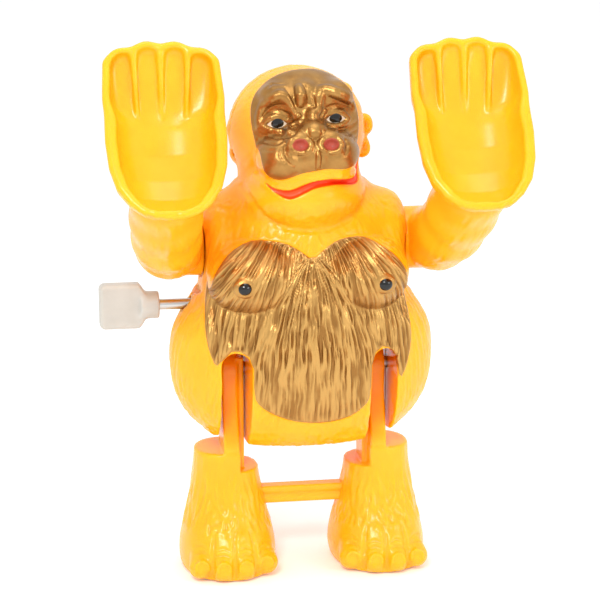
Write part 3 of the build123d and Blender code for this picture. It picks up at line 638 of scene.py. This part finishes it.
def paint_and_carve(v, n, outside, on_skin):
    """Paint distances (positive inside the paint, in mm) and the moulded hair, for the outer vertices, and the painted
    shade on the walls inside the leg slots.
    """
    x, y, z = v.T
    front = outside & (y < 0.2)
    far = np.full(len(v), -9.0)
    gold = far.copy()
    m = front & (n[:, 1] < 0.25)
    chest = m & (z < 66)
    face = outside & (y < -0.5) & (n[:, 1] < 0.7) & (z > 74)
    gold[chest] = polygon_distance(x[chest], z[chest], rounded(CHEST, 1))
    gold[face] = polygon_distance(x[face], z[face], rounded(MASK, 1))
    # relief of the painted plate, and its hair
    lift = np.zeros(len(v))
    g = chest & (gold > -0.6)
    lift[g] += 0.28 * smooth(-0.35, 0.25, gold[g])
    h = chest & (gold > 0.05)
    quiet = smooth(1.5, 2.6, np.hypot(np.abs(x[h]) - NIPPLE_X, z[h] - NIPPLE_Z))
    under = 1 - 0.75 * np.exp(-((np.hypot((np.abs(x[h]) - 11.0) / 1.7, z[h] - 53.3)) ** 2) / 6.0)
    lower = 0.55 + 0.45 * smooth(34.0, 44.0, z[h])
    lift[h] += 0.38 * chest_hair(x[h], z[h]) * quiet * under * lower * smooth(0.05, 0.5, gold[h])
    g = face & (gold > -0.6)
    lift[g] += 0.18 * smooth(-0.3, 0.2, gold[g])
    # yellow fur, shallow
    f = outside & (gold < -0.2) & (z < 71) & (z > 24.5)
    lift[f] += 0.1 * hair(v[f], body_flow, 0.6, 3.6, 5) * smooth(0.0, 0.8, np.abs(y[f])) * smooth(-0.2, -0.9, gold[f])
    f = outside & (gold < -0.2) & (z > 74) & (y > -6)
    lift[f] += 0.05 * hair(v[f], head_flow, 0.8, 4.0, 6) * smooth(0.0, 0.8, np.abs(y[f]))
    v = v + n * lift[:, None]
    # eyes, nostrils, mouth
    white, black, red = far.copy(), far.copy(), far.copy()
    m = face & (n[:, 1] < 0.1)
    for cx, cz in EYES:
        dx, dz = x[m] - cx, z[m] - cz - 0.03 * (x[m] - cx)
        almond = 0.82 * (1 - np.abs(dx / 1.85) ** 2.0) - np.abs(dz + 0.12)
        white[m] = np.maximum(white[m], almond * 0.6)
        iris = 1.0 - np.hypot(dx * 0.92, dz * 1.1)
        black[m] = np.maximum(black[m], iris)
    for cx in NOSTRILS:
        red[m] = np.maximum(red[m], 1.0 - np.hypot((x[m] - cx) / 1.5, (z[m] - NOSTRIL_Z) / 1.15))
    m = chest & (np.abs(np.abs(x) - NIPPLE_X) < 3)
    black[m] = np.maximum(black[m], 0.97 - np.hypot(np.abs(x[m]) - NIPPLE_X, (z[m] - NIPPLE_Z) * 1.1))
    lips = far.copy()
    m = front & (z > 71) & (z < 78.5) & (n[:, 1] < 0.3)
    u = np.linspace(0, len(MOUTH) - 1, 33)
    mid = np.stack([curve(u, MOUTH[:, i]) for i in range(3)], 1)
    half = [[0, 1]] * mid[:, 2:]
    outline = np.concatenate([mid[:, :2] + half, (mid[:, :2] - half)[::-1]])
    lips[m] = polygon_distance(x[m], z[m], outline)
    # painted shade: deep marks the walls inside the leg slots, which the plastic shader tints orange
    deep = np.zeros(len(v))
    slot = (np.abs(np.abs(x) - 13.65) < 2.9) & (z < 44.1) & ~on_skin
    deep[slot] = 1.0
    paint = {"gold": gold, "white": white, "black": black, "nostril": red, "mouth": lips}
    return v, {**paint, "lift": lift, "deep": deep}


def build_body():
    clay = sculpt_body()
    finish_body(clay)
    outer = clay.f.copy()
    open_body(clay, outer)
    whole = clay.f
    y = clay.ax[1].reshape(1, -1, 1)
    shells = {}
    probe = Clay(clay.low, clay.low + 1, clay.step)
    probe.f, probe.ax = outer, clay.ax
    for name, half in (("front", y + 0.03), ("rear", 0.03 - y)):
        clay.f = np.maximum(whole, half).astype(np.float32)
        v, q = clay.mesh()
        o = make_object(name + "_body_shell", v, q)
        if name == "front":
            refine(o, v, lambda p: probe.sample(p)[0])
        mesh = o.data
        v = np.empty(len(mesh.vertices) * 3)
        mesh.vertices.foreach_get("co", v)
        v = v.reshape(-1, 3) * 1000
        v[:, 1] -= MID_Y
        n = np.empty(len(mesh.vertices) * 3)
        mesh.vertex_normals.foreach_get("vector", n)
        depth, _ = probe.sample(v)
        outside = depth > -0.75
        v, paint = paint_and_carve(v, n.reshape(-1, 3), outside & (np.abs(v[:, 1]) > 0.15), depth > -0.45)
        mesh.vertices.foreach_set("co", to_metres(v).ravel())
        add_attributes(mesh, paint)
        mesh.update()
        thin_out(o, outside, 0.3)
        shells[name] = o
    return shells


# --- hands and arms
def hand_frame():
    """The middle of the palm's rim, and the directions along the fingers and out of the palm."""
    tilt = math.radians(35)
    along = np.array([0, math.sin(tilt), math.cos(tilt)])
    out = np.array([0, -math.cos(tilt), math.sin(tilt)])
    return np.array([26.8, -23.5, 87.2]), along, out


# Along the hand, half width, depth
SCOOP = np.array([(-17.2, 2.5, 1.6), (-16.2, 4.9, 3.4), (-14.4, 7.0, 5.4), (-11.5, 8.9, 7.3), (-7.5, 10.0, 8.4),
                  (-2.5, 10.4, 8.6), (3.0, 10.3, 7.9), (8.0, 9.8, 6.6), (12.0, 9.2, 5.4), (15.5, 8.2, 4.2)])
HAND_WALL = 1.45
# Depth of the palm's floor under the fingers, by how far along it is
FLOOR_ALONG, FLOOR_DEEP = (0, 6, 10, 13, 15.5), (9.0, 5.6, 3.7, 2.3, 1.2)
# Across, end and radius of each finger
FINGERS = ((-6.7, 12.5, 2.6), (-2.35, 13.8, 2.6), (2.35, 13.9, 2.6), (6.7, 12.6, 2.6))


def scoop_field(u, v, w, end, p=2.3):
    """The hand without its fingers, given how far across, along and out of the palm."""
    h = np.clip(v, SCOOP[0, 0], SCOOP[-1, 0])
    half, deep = (np.interp(h, SCOOP[:, 0], SCOOP[:, i]) for i in (1, 2))
    k0 = (np.abs(u / half) ** p + np.abs(w / deep) ** p) ** (1 / p)
    d = (k0 - 1) * np.minimum(half, deep) * 0.9
    return smax(smax(d, SCOOP[0, 0] - v, 1.0), v - end, 0.8)


def build_arm():
    step = 0.28
    clay = Clay((15.0, -35.5, 55.0), (38.6, 7.5, 102.5), step)
    # upper arm, elbow and forearm
    clay.rod([(23.6, 0.2, 62.0), (25.0, -4.5, 62.8), (25.9, -10.5, 65.6), (26.5, -17.0, 70.2),
              (26.9, -22.5, 75.0), (27.0, -24.5, 78.0)], [5.6, 5.7, 5.8, 5.9, 5.9, 5.6], k=0, joint_k=2.5)
    cut, x, y, z = clay.window()
    disc = smax(smax(np.sqrt(y**2 + (z - SHOULDER_Z) ** 2) - 5.85, x - 26, 0.5), 18.66 - x, 0.25)
    clay.f = smin(smax(clay.f, 19.3 - x, 0.35), disc, 0.3)
    origin, ev, ew = hand_frame()
    dx, dy, dz = x - origin[0], y - origin[1], z - origin[2]
    u = dx + 0 * dy + 0 * dz
    v = ev[1] * dy + ev[2] * dz + 0 * dx
    w = ew[1] * dy + ew[2] * dz + 0 * dx
    outer = scoop_field(u, v, w, 12.4)
    merged = outer
    for across, end, r in FINGERS:
        t = np.maximum(v - end, 0)
        s = np.maximum(6.0 - v, 0)
        tip = np.sqrt((u - across) ** 2 + np.maximum(np.abs(w + 1.3) - 1.3, 0) ** 2 * 0.8 + t**2 + s**2) - r
        outer = smin(outer, tip, 2.6)
        merged = smin(merged, tip, 4.4)
    inner = merged + 1.5
    floor_depth = np.interp(v.ravel(), FLOOR_ALONG, FLOOR_DEEP).reshape(v.shape)
    inner = smax(inner, -w - floor_depth.astype(np.float32), 1.2)
    # ridges between the fingers run down the floor of the palm
    for across in (-4.7, 0.0, 4.7):
        best = None
        spine = []
        for station, lift in ((14.2, 0.5), (12.3, 0.45), (9.5, 0.35), (7.0, 0.1), (4.5, -0.2)):
            half, deep = (np.interp(station, SCOOP[:, 0], SCOOP[:, i]) - HAND_WALL for i in (1, 2))
            deep = min(deep, np.interp(station, FLOOR_ALONG, FLOOR_DEEP))
            side = across * (1 - 0.01 * (14 - station))
            floor_w = -deep * (1 - min(abs(side / half), 0.99) ** 2.3) ** (1 / 2.3)
            spine.append((side, station, min(floor_w + lift, -0.9)))
        radii = (0.6, 0.55, 0.5, 0.4, 0.2)
        for a, b, ra, rb in zip(spine[:-1], spine[1:], radii[:-1], radii[1:]):
            t, d = to_segment(u, v, w, np.array(a), np.array(b))
            d = d - (ra + (rb - ra) * t)
            best = d if best is None else np.minimum(best, d)
        inner = smax(inner, -best, 0.6)
    wrist = smax(clay.f, w + 2.2, 1.0)
    clay.f = smin(wrist, smax(outer, w, 0.9), 1.4)
    clay.f = smax(clay.f, -inner, 0.7).astype(np.float32)
    clay.drum(0, (0, 0, SHOULDER_Z), 2.3, 17, 22.4, k=0.1, dig=True)
    vert, quad = clay.mesh()
    n = normals(vert, quad)
    arm = smooth(-13.0, -17.0, (vert - origin) @ ev) * (vert[:, 0] > 18.95)

    def arm_flow(p):
        d = np.tile(np.array([0.15, -0.78, 0.6]), (len(p), 1))
        d[:, 1] -= 0.02 * (p[:, 2] - SHOULDER_Z)
        return d / np.linalg.norm(d, axis=1)[:, None]

    pick = arm > 0.01
    lift = np.zeros(len(vert))
    lift[pick] = 0.09 * hair(vert[pick], arm_flow, 0.6, 3.6, 11) * arm[pick]
    vert = vert + n * lift[:, None]
    # painted shade: the arm's end in the shoulder gap is tinted half way to the orange
    deep = smooth(20.5, 19.0, vert[:, 0]) * 0.5
    return vert, quad, lift, deep


# --- legs
FOOT = np.array([
    # height, centre x, half width, reach front, reach back
    (-0.4, 14.5, 8.5, 11.9, 6.9), (0.6, 14.5, 8.8, 12.4, 7.3), (2.5, 14.4, 9.1, 12.9, 7.7), (5.0, 14.4, 9.0, 12.3, 7.8),
    (7.5, 14.4, 8.5, 10.9, 7.6), (10.0, 14.5, 7.8, 9.2, 7.3), (13.0, 14.5, 7.1, 7.8, 6.9), (17.0, 14.6, 6.4, 6.8, 6.6),
    (20.0, 14.6, 6.05, 6.3, 6.5), (23.5, 14.6, 5.85, 6.0, 6.5)])
FOOT_X = 14.4
# Across, reach to the front and radius of each toe
TOES = ((-6.3, 11.2, 2.3), (-2.2, 13.2, 2.4), (2.1, 13.5, 2.4), (6.1, 12.1, 2.2))
ANKLE_TOP, STEP_TOP = 22.8, 19.2
STRUT_IN, STRUT_OUT = 12.5, 15.4


def build_leg():
    step = 0.26
    clay = Clay((3.8, -16.0, -1.0), (26.6, 9.6, 42.5), step)
    cut, x, y, z = clay.window()
    rows = smooth_table(FOOT, z.ravel().astype(float)).astype(np.float32)
    cx, half, front, back = (rows[:, i].reshape(1, 1, -1) for i in range(4))
    deep = np.where(y < 0, front, back)
    p = 2.2  # how square the foot is
    k0 = (np.abs((x - cx) / half) ** p + np.abs(y / deep) ** p) ** (1 / p)
    d = (k0 - 1) * np.minimum(half, deep) * 0.92
    d = smax(d, z - ANKLE_TOP, 0.5)
    for across, reach, r in TOES:
        a = np.array((FOOT_X + across, -(reach - r), 2.5))
        t, toe = to_segment(x, y, z, a, np.array((FOOT_X + across * 0.8, -5.0, 5.2)))
        d = smin(d, toe - (r + 0.1 * t), 0.45)
    d = smax(d, 0.02 - z, 0.5)
    # the inner half of the ankle is cut lower, beside the strut
    notch = np.maximum(STEP_TOP - z, x - 12.4)
    d = smax(d, -notch, 0.35)
    hollow = ((np.abs((x - cx) / (half - 1.7)) ** p + np.abs(y / (deep - 1.7)) ** p) ** (1 / p) - 1) * 6
    hollow = np.maximum(hollow, z - (STEP_TOP - 3.4))
    d = smax(d, -hollow, 0.3)
    # strut and hip eye
    side = between(x, STRUT_IN, STRUT_OUT)
    strut = np.maximum(side, np.maximum(np.abs(y) - 3.45, between(z, 16.5, HIP_Z)))
    eye = np.maximum(side, np.sqrt(y**2 + (z - HIP_Z) ** 2) - 3.6)
    lean = -3.45 - 2.4 * smooth(34.0, 23.0, z)
    strut = np.minimum(strut, np.maximum(side, np.maximum(between(y, lean, 0), between(z, 16.5, HIP_Z))))
    d = smin(d, smin(strut, eye, 0.1), 0.5)
    web = np.maximum(between(x, 11.3, 13), np.maximum(between(y, -3.0, 3.3), between(z, 15, 40.6)))
    d = smin(d, web, 0.25)
    clay.f = d.astype(np.float32)
    clay.drum(0, (0, 0, HIP_Z), 1.12, 11, 17, k=0.1, dig=True)
    # creases between the toes, nails and knuckle folds
    for across in (-4.3, -0.1, 4.2):
        x0 = FOOT_X + across
        clay.line([(x0, 0.7), (x0 - 0.02 * across, 3.2), (x0 - 0.1 * across, 6.0), (x0 - 0.22 * across, 8.8)],
                  [0.55, 0.5, 0.36, 0.12], k=0.5, dig=True)
    for across, _, _ in TOES:
        x0 = FOOT_X + across * 0.98
        clay.line([(x0 - 1.25, 2.2), (x0 - 1.05, 3.5), (x0, 4.1), (x0 + 1.05, 3.5), (x0 + 1.25, 2.2)],
                  [0.15, 0.26, 0.28, 0.26, 0.15], rise=0.08, k=0.25)
        for half, low, high, radii in ((1.3, 4.8, 5.3, [0.12, 0.25, 0.12]), (1.1, 5.9, 6.35, [0.1, 0.2, 0.1])):
            clay.line([(x0 - half, low), (x0, high), (x0 + half, low)], radii, k=0.3, dig=True)
    vert, quad = clay.mesh()
    n = normals(vert, quad)

    def leg_flow(pt):
        d3 = np.stack([0.12 * np.sin(pt[:, 0]), -0.35 * smooth(12, 6, pt[:, 2]), -np.ones(len(pt))], 1)
        return d3 / np.linalg.norm(d3, axis=1)[:, None]

    zz = vert[:, 2]
    r0 = np.hypot((vert[:, 0] - 15) / 6, vert[:, 1] / 6)
    fringe = 1.2 * (noise(np.stack([vert[:, 0] / 0.6, vert[:, 1] / 0.6], 1), 77) - 0.5)
    furry = smooth(7.2, 8.6, zz + fringe) * smooth(22.6, 21.6, zz) * (r0 > 0.8) * (np.abs(n[:, 2]) < 0.9)
    furry = furry * (1 - 0.6 * smooth(13, 20, zz))
    pick = furry > 0.01
    lift = np.zeros(len(vert))
    lift[pick] = 0.2 * hair(vert[pick], leg_flow, 0.6, 3.6, 21) * furry[pick]
    vert = vert + n * lift[:, None]
    # painted shade: the top of the strut, up inside the body's slot, is tinted orange, less on the web beside it
    deep = 0.75 * smooth(23.2, 25.5, zz) * (1 - 0.6 * smooth(12.75, 12.4, vert[:, 0]))
    return vert, quad, lift, deep


def pair(name, vert, quad, lift, deep):
    """The piece on the right and its mirror image on the left."""
    made = {}
    for side, s in (("right", 1), ("left", -1)):
        v = vert.copy()
        v[:, 0] *= s
        q = quad if s > 0 else quad[:, ::-1]
        # the deep attribute carries the painted shade of recesses
        made[side] = make_object(f"{side}_{name}", v, q, {"lift": lift, "deep": deep})
    return made


# --- knob and ankle bar
def build_knob():
    step = 0.16
    clay = Clay((-38.6, -5.2, 45.4), (-26.0, 5.2, 56.0), step)
    cut, x, y, z = clay.window()
    zc = z - SHAFT_Z
    half = np.interp(x.ravel(), (-38, -30.4, -29.2, -28), (4.2, 4.2, 2.7, 2.5)).astype(np.float32).reshape(-1, 1, 1)
    corner = 1.1
    qx, qz = np.abs(x + 33.3) - (4.4 - corner), np.abs(zc) - (half - corner)
    flat = np.sqrt(np.maximum(qx, 0) ** 2 + np.maximum(qz, 0) ** 2) + np.minimum(np.maximum(qx, qz), 0) - corner
    d = smax(flat, np.abs(y) - 1.75, 0.9)
    collar = smax(np.sqrt(y**2 + zc**2) - 2.55, np.abs(x + 28.4) - 1.75, 0.5)
    d = smin(d, collar, 0.7)
    clay.f = d.astype(np.float32)
    clay.drum(0, (0, 0, SHAFT_Z), 1.02, -31.5, -25, k=0.1, dig=True)
    v, q = clay.mesh()
    return make_object("winding_knob_body", v, q)


def build_bar():
    step = 0.2
    clay = Clay((-9.8, -2.6, 10.4), (9.8, 2.6, 15.6), step)
    clay.brick((-8.9, -1.55, 11.35), (8.9, 1.55, 14.65), 0.4, k=0)
    for s in (-1, 1):
        clay.rod([(-12, s * 1.75, 13.0), (12, s * 1.75, 13.0)], 0.5, k=0.25, dig=True)
    v, q = clay.mesh()
    return make_object("ankle_crossbar", v, q)


# --- materials
def new_material(name):
    m = bpy.data.materials.new(name)
    m.use_nodes = True
    nt = m.node_tree
    nt.nodes.clear()
    return m, nt


def node(nt, kind, inputs=None, **settings):
    """A new node; inputs gives each socket a value, or the socket that feeds it."""
    n = nt.nodes.new(kind)
    for key, value in settings.items():
        setattr(n, key, value)
    for key, value in (inputs or {}).items():
        if isinstance(value, bpy.types.NodeSocket):
            nt.links.new(value, n.inputs[key])
        else:
            n.inputs[key].default_value = value
    return n


def principled(nt, **values):
    """A Principled shader; each keyword is a socket's name, with _ for a space."""
    return node(nt, "ShaderNodeBsdfPrincipled", {k.replace("_", " "): v for k, v in values.items()})


def texture(nt, scale, detail, stretch=None):
    """Noise in the object's own coordinates, scaled unevenly where stretch is given."""
    place = node(nt, "ShaderNodeTexCoord").outputs["Object"]
    if stretch:
        place = node(nt, "ShaderNodeMapping", {"Vector": place, "Scale": stretch}).outputs["Vector"]
    return node(nt, "ShaderNodeTexNoise", {"Vector": place, "Scale": scale, "Detail": detail}).outputs["Fac"]


def attribute(nt, name):
    return node(nt, "ShaderNodeAttribute", attribute_name=name).outputs["Fac"]


def arithmetic(nt, operation, *terms):
    """A Math node over sockets and numbers."""
    return node(nt, "ShaderNodeMath", dict(enumerate(terms)), operation=operation).outputs[0]


def height_bump(nt, shader, strength, distance, height):
    b = node(nt, "ShaderNodeBump", {"Strength": strength, "Distance": distance, "Height": height})
    nt.links.new(b.outputs["Normal"], shader.inputs["Normal"])


def bump(nt, shader, strength, distance, *layers):
    """Fine surface noise: layers are (scale per metre, weight, detail)."""
    last = None
    for scale, weight, detail in layers:
        layer = arithmetic(nt, "MULTIPLY", texture(nt, scale, detail), weight)
        last = layer if last is None else arithmetic(nt, "ADD", last, layer)
    height_bump(nt, shader, strength, distance, last)


def varied(nt, shader, colors, factor):
    """A base colour that drifts between two tones."""
    ramp = node(nt, "ShaderNodeValToRGB", {"Fac": factor})
    for element, position, color in zip(ramp.color_ramp.elements, (0.3, 0.7), colors):
        element.position = position
        element.color = (*color, 1)
    nt.links.new(ramp.outputs["Color"], shader.inputs["Base Color"])
    return ramp.outputs["Color"]


def uneven_roughness(nt, shader, factor, low, high):
    spread = node(nt, "ShaderNodeMapRange", {"Value": factor, "To Min": low, "To Max": high})
    nt.links.new(spread.outputs["Result"], shader.inputs["Roughness"])


YELLOW = ((1.0, 0.395, 0.006), (1.0, 0.43, 0.010))
# Painted shade: the orange that slots, gaps and other recesses of the yellow plastic are tinted
PAINTED_SHADE_ORANGE = (1.0, 0.36, 0.0, 1)
# Gold tones: the darker one is painted shade in the hair's grooves, the paler one a painted highlight on its ridges
GOLD_SHADE_AND_HIGHLIGHT_TONES = ((0.30, 0.142, 0.034), (0.54, 0.305, 0.09))
KNOB_WHITE = ((0.45, 0.425, 0.38), (0.50, 0.475, 0.43))
NYLON_WHITE = ((0.72, 0.71, 0.66), (0.82, 0.81, 0.77))
PAPER_WHITE = ((0.93, 0.93, 0.93), (0.95, 0.95, 0.95))


def plastic_shader(nt):
    """Translucent yellow plastic, with painted shade: more orange in the recesses that the deep attribute marks."""
    s = principled(nt, Roughness=0.27, IOR=1.45, Specular_IOR_Level=0.42, Subsurface_Weight=0.45,
                   Subsurface_Radius=(1.0, 0.45, 0.04), Subsurface_Scale=0.004)
    color = varied(nt, s, YELLOW, texture(nt, 160, 3.0))
    # painted shade: the base colour turns orange where deep marks a recess
    inputs = {"Factor": attribute(nt, "deep"), "A": color, "B": PAINTED_SHADE_ORANGE}
    mix = node(nt, "ShaderNodeMix", inputs, data_type="RGBA")
    nt.links.new(mix.outputs["Result"], s.inputs["Base Color"])
    bump(nt, s, 0.12, 0.0002, (2500, 0.6, 2), (700, 0.4, 3))
    return s


def gold_shader(nt):
    """Sprayed gold, with painted shade in the grooves of the moulded hair and a painted highlight on its ridges."""
    s = principled(nt, Metallic=0.85)
    grain = texture(nt, 420, 5)
    # painted shade and highlight: the relief height darkens the gold in the grooves and pales it on the ridges, and the
    # grain adds a random tone
    ridges = arithmetic(nt, "MULTIPLY_ADD", attribute(nt, "lift"), 1.6, -0.1)
    varied(nt, s, GOLD_SHADE_AND_HIGHLIGHT_TONES, arithmetic(nt, "ADD", ridges, arithmetic(nt, "MULTIPLY", grain, 0.45)))
    uneven_roughness(nt, s, grain, 0.24, 0.38)
    bump(nt, s, 0.3, 0.0002, (7000, 0.5, 2), (2200, 0.5, 3))
    return s


def paint_shader(nt, color, roughness, wear, coat=0.5):
    s = principled(nt, Roughness=roughness, Coat_Weight=coat, Coat_Roughness=0.05)
    varied(nt, s, (tuple(c * wear for c in color), color), texture(nt, 900, 3.0))
    bump(nt, s, 0.1, 0.0001, (1800, 1.0, 2))
    return s


def painted_body_material():
    """Yellow plastic under layers of paint, each shown where its attribute is above zero."""
    m, nt = new_material("painted_body")
    current = plastic_shader(nt).outputs[0]
    # Attribute, shader, softness of the edge
    layers = (
        ("gold", gold_shader(nt), 0.05),
        ("mouth", paint_shader(nt, (1.0, 0.065, 0.0), 0.5, 0.85, 0.05), 0.05),
        ("nostril", paint_shader(nt, (0.42, 0.06, 0.03), 0.6, 0.75, 0.1), 0.05),
        ("white", paint_shader(nt, (0.74, 0.66, 0.52), 0.3, 0.85), 0.04),
        ("black", paint_shader(nt, (0.003, 0.0025, 0.0025), 0.16, 0.6, 0.0), 0.03),
    )
    for key, shader, soft in layers:
        edge = node(nt, "ShaderNodeMapRange", {"Value": attribute(nt, key), "From Min": -soft, "From Max": soft})
        inputs = {0: edge.outputs["Result"], 1: current, 2: shader.outputs[0]}
        current = node(nt, "ShaderNodeMixShader", inputs).outputs[0]
    node(nt, "ShaderNodeOutputMaterial", {"Surface": current})
    return m


def simple_material(name, make):
    m, nt = new_material(name)
    node(nt, "ShaderNodeOutputMaterial", {"Surface": make(nt).outputs[0]})
    return m


def knob_shader(nt):
    s = principled(nt, Roughness=0.38, Subsurface_Weight=0.4, Subsurface_Radius=(1.0, 0.9, 0.75),
                   Subsurface_Scale=0.002)
    varied(nt, s, KNOB_WHITE, texture(nt, 260, 3.0))
    bump(nt, s, 0.1, 0.0002, (1500, 0.6, 2), (400, 0.4, 2))
    return s


def nylon_shader(nt):
    s = principled(nt, Roughness=0.5, Subsurface_Weight=0.2, Subsurface_Radius=(1.0, 0.9, 0.8),
                   Subsurface_Scale=0.001)
    varied(nt, s, NYLON_WHITE, texture(nt, 500, 3.0))
    bump(nt, s, 0.15, 0.0002, (1800, 0.6, 2), (500, 0.4, 2))
    return s


def floor_shader(nt):
    s = principled(nt, Roughness=0.8, Emission_Color=(1, 1, 1, 1), Emission_Strength=0.08)
    varied(nt, s, PAPER_WHITE, texture(nt, 30, 3.0))
    bump(nt, s, 0.02, 0.0005, (200, 1.0, 2))
    return s


def metal_shader(color, roughness, stretch=None):
    def make(nt):
        s = principled(nt, Metallic=1.0)
        grain = texture(nt, 1500, 3, stretch)
        varied(nt, s, (tuple(c * 0.8 for c in color), color), grain)
        uneven_roughness(nt, s, grain, roughness * 0.8, roughness * 1.3)
        height_bump(nt, s, 0.15, 0.0001, grain)
        return s

    return make


def set_material(o, material):
    o.data.materials.clear()
    o.data.materials.append(material)


# --- build
def camera():
    """A long lens, a little above and to the left of the toy."""
    yaw, pitch, distance = math.radians(9), math.radians(13), 0.350
    data = bpy.data.cameras.new("camera")
    data.lens = 112
    data.sensor_width = 36
    data.clip_start = 0.01
    data.shift_x = -1.0 / 600
    data.shift_y = 3.0 / 600
    cam = add_object("camera", data)
    target = Vector((0, MID_Y / 1000, 0.050))
    back = Vector((-math.sin(yaw) * math.cos(pitch), -math.cos(yaw) * math.cos(pitch), math.sin(pitch)))
    cam.location = target + back * distance
    cam.rotation_euler = back.to_track_quat("Z", "Y").to_euler()
    bpy.context.scene.camera = cam


def area(name, place, target, size, power):
    """A round lamp that faces the target."""
    data = bpy.data.lights.new(name, "AREA")
    data.shape = "DISK"
    data.size = size
    data.energy = power
    o = add_object(name, data)
    o.location = place
    o.rotation_euler = (Vector(place) - Vector(target)).to_track_quat("Z", "Y").to_euler()


camera()
world = bpy.data.worlds.new("studio")
world.use_nodes = True
light = world.node_tree.nodes["Background"].inputs
light["Color"].default_value = (1, 1, 1, 1)
light["Strength"].default_value = 1.0
bpy.context.scene.world = world
bpy.context.scene.view_settings.view_transform = "Standard"
area("key", (-0.14, -0.36, 0.36), (0, 0, 0.055), 0.13, 1.25)
area("fill", (0.30, -0.28, 0.18), (0, 0, 0.05), 0.14, 0.35)
area("top", (0.02, -0.02, 0.42), (0, 0, 0.05), 0.22, 0.3)

FLOOR_HALF = 12.0
corners = [(x * FLOOR_HALF, y * FLOOR_HALF, 0) for x, y in ((-1, -1), (1, -1), (1, 1), (-1, 1))]
floor_mesh = bpy.data.meshes.new("floor")
floor_mesh.from_pydata(corners, [], [(0, 1, 2, 3)])
floor = add_object("floor", floor_mesh)
floor.location = (0, 0, -0.0002)
set_material(floor, simple_material("paper", floor_shader))



def stand_in(o, body, cad_node, material):
    """The piece rides on the body, in place of the CAD node."""
    set_material(o, material)
    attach(o, body)
    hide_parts(cad_node)


painted = painted_body_material()
yellow = simple_material("yellow_plastic", plastic_shader)
for key, o in build_body().items():
    stand_in(o, "body", f"{key}_shell", painted)
for side, o in pair("arm_and_hand", *build_arm()).items():
    stand_in(o, f"{side}_arm", f"{side}_arm", yellow)
for side, o in pair("leg_and_foot", *build_leg()).items():
    stand_in(o, "legs", f"{side}_leg", yellow)
stand_in(build_bar(), "legs", "ankle_bar", yellow)
knob_plastic = simple_material("knob_plastic", knob_shader)
stand_in(build_knob(), "winder", "winding_knob", knob_plastic)

looks = {
    "steel": simple_material("drawn_steel", metal_shader((0.62, 0.61, 0.59), 0.28, (0.05, 1, 1))),
    "spring_steel": simple_material("blued_spring", metal_shader((0.22, 0.25, 0.33), 0.3)),
    "brass": simple_material("turned_brass", metal_shader((0.78, 0.55, 0.24), 0.3)),
    "zinc_screw": simple_material("zinc_screw", metal_shader((0.6, 0.6, 0.58), 0.35)),
    "nylon": simple_material("nylon", nylon_shader),
    "yellow_plastic": yellow,
}
for part in frame["record"]["subparts"]:
    if part["material_slot"] in looks:
        set_material(NODES[part["node"]], looks[part["material_slot"]])
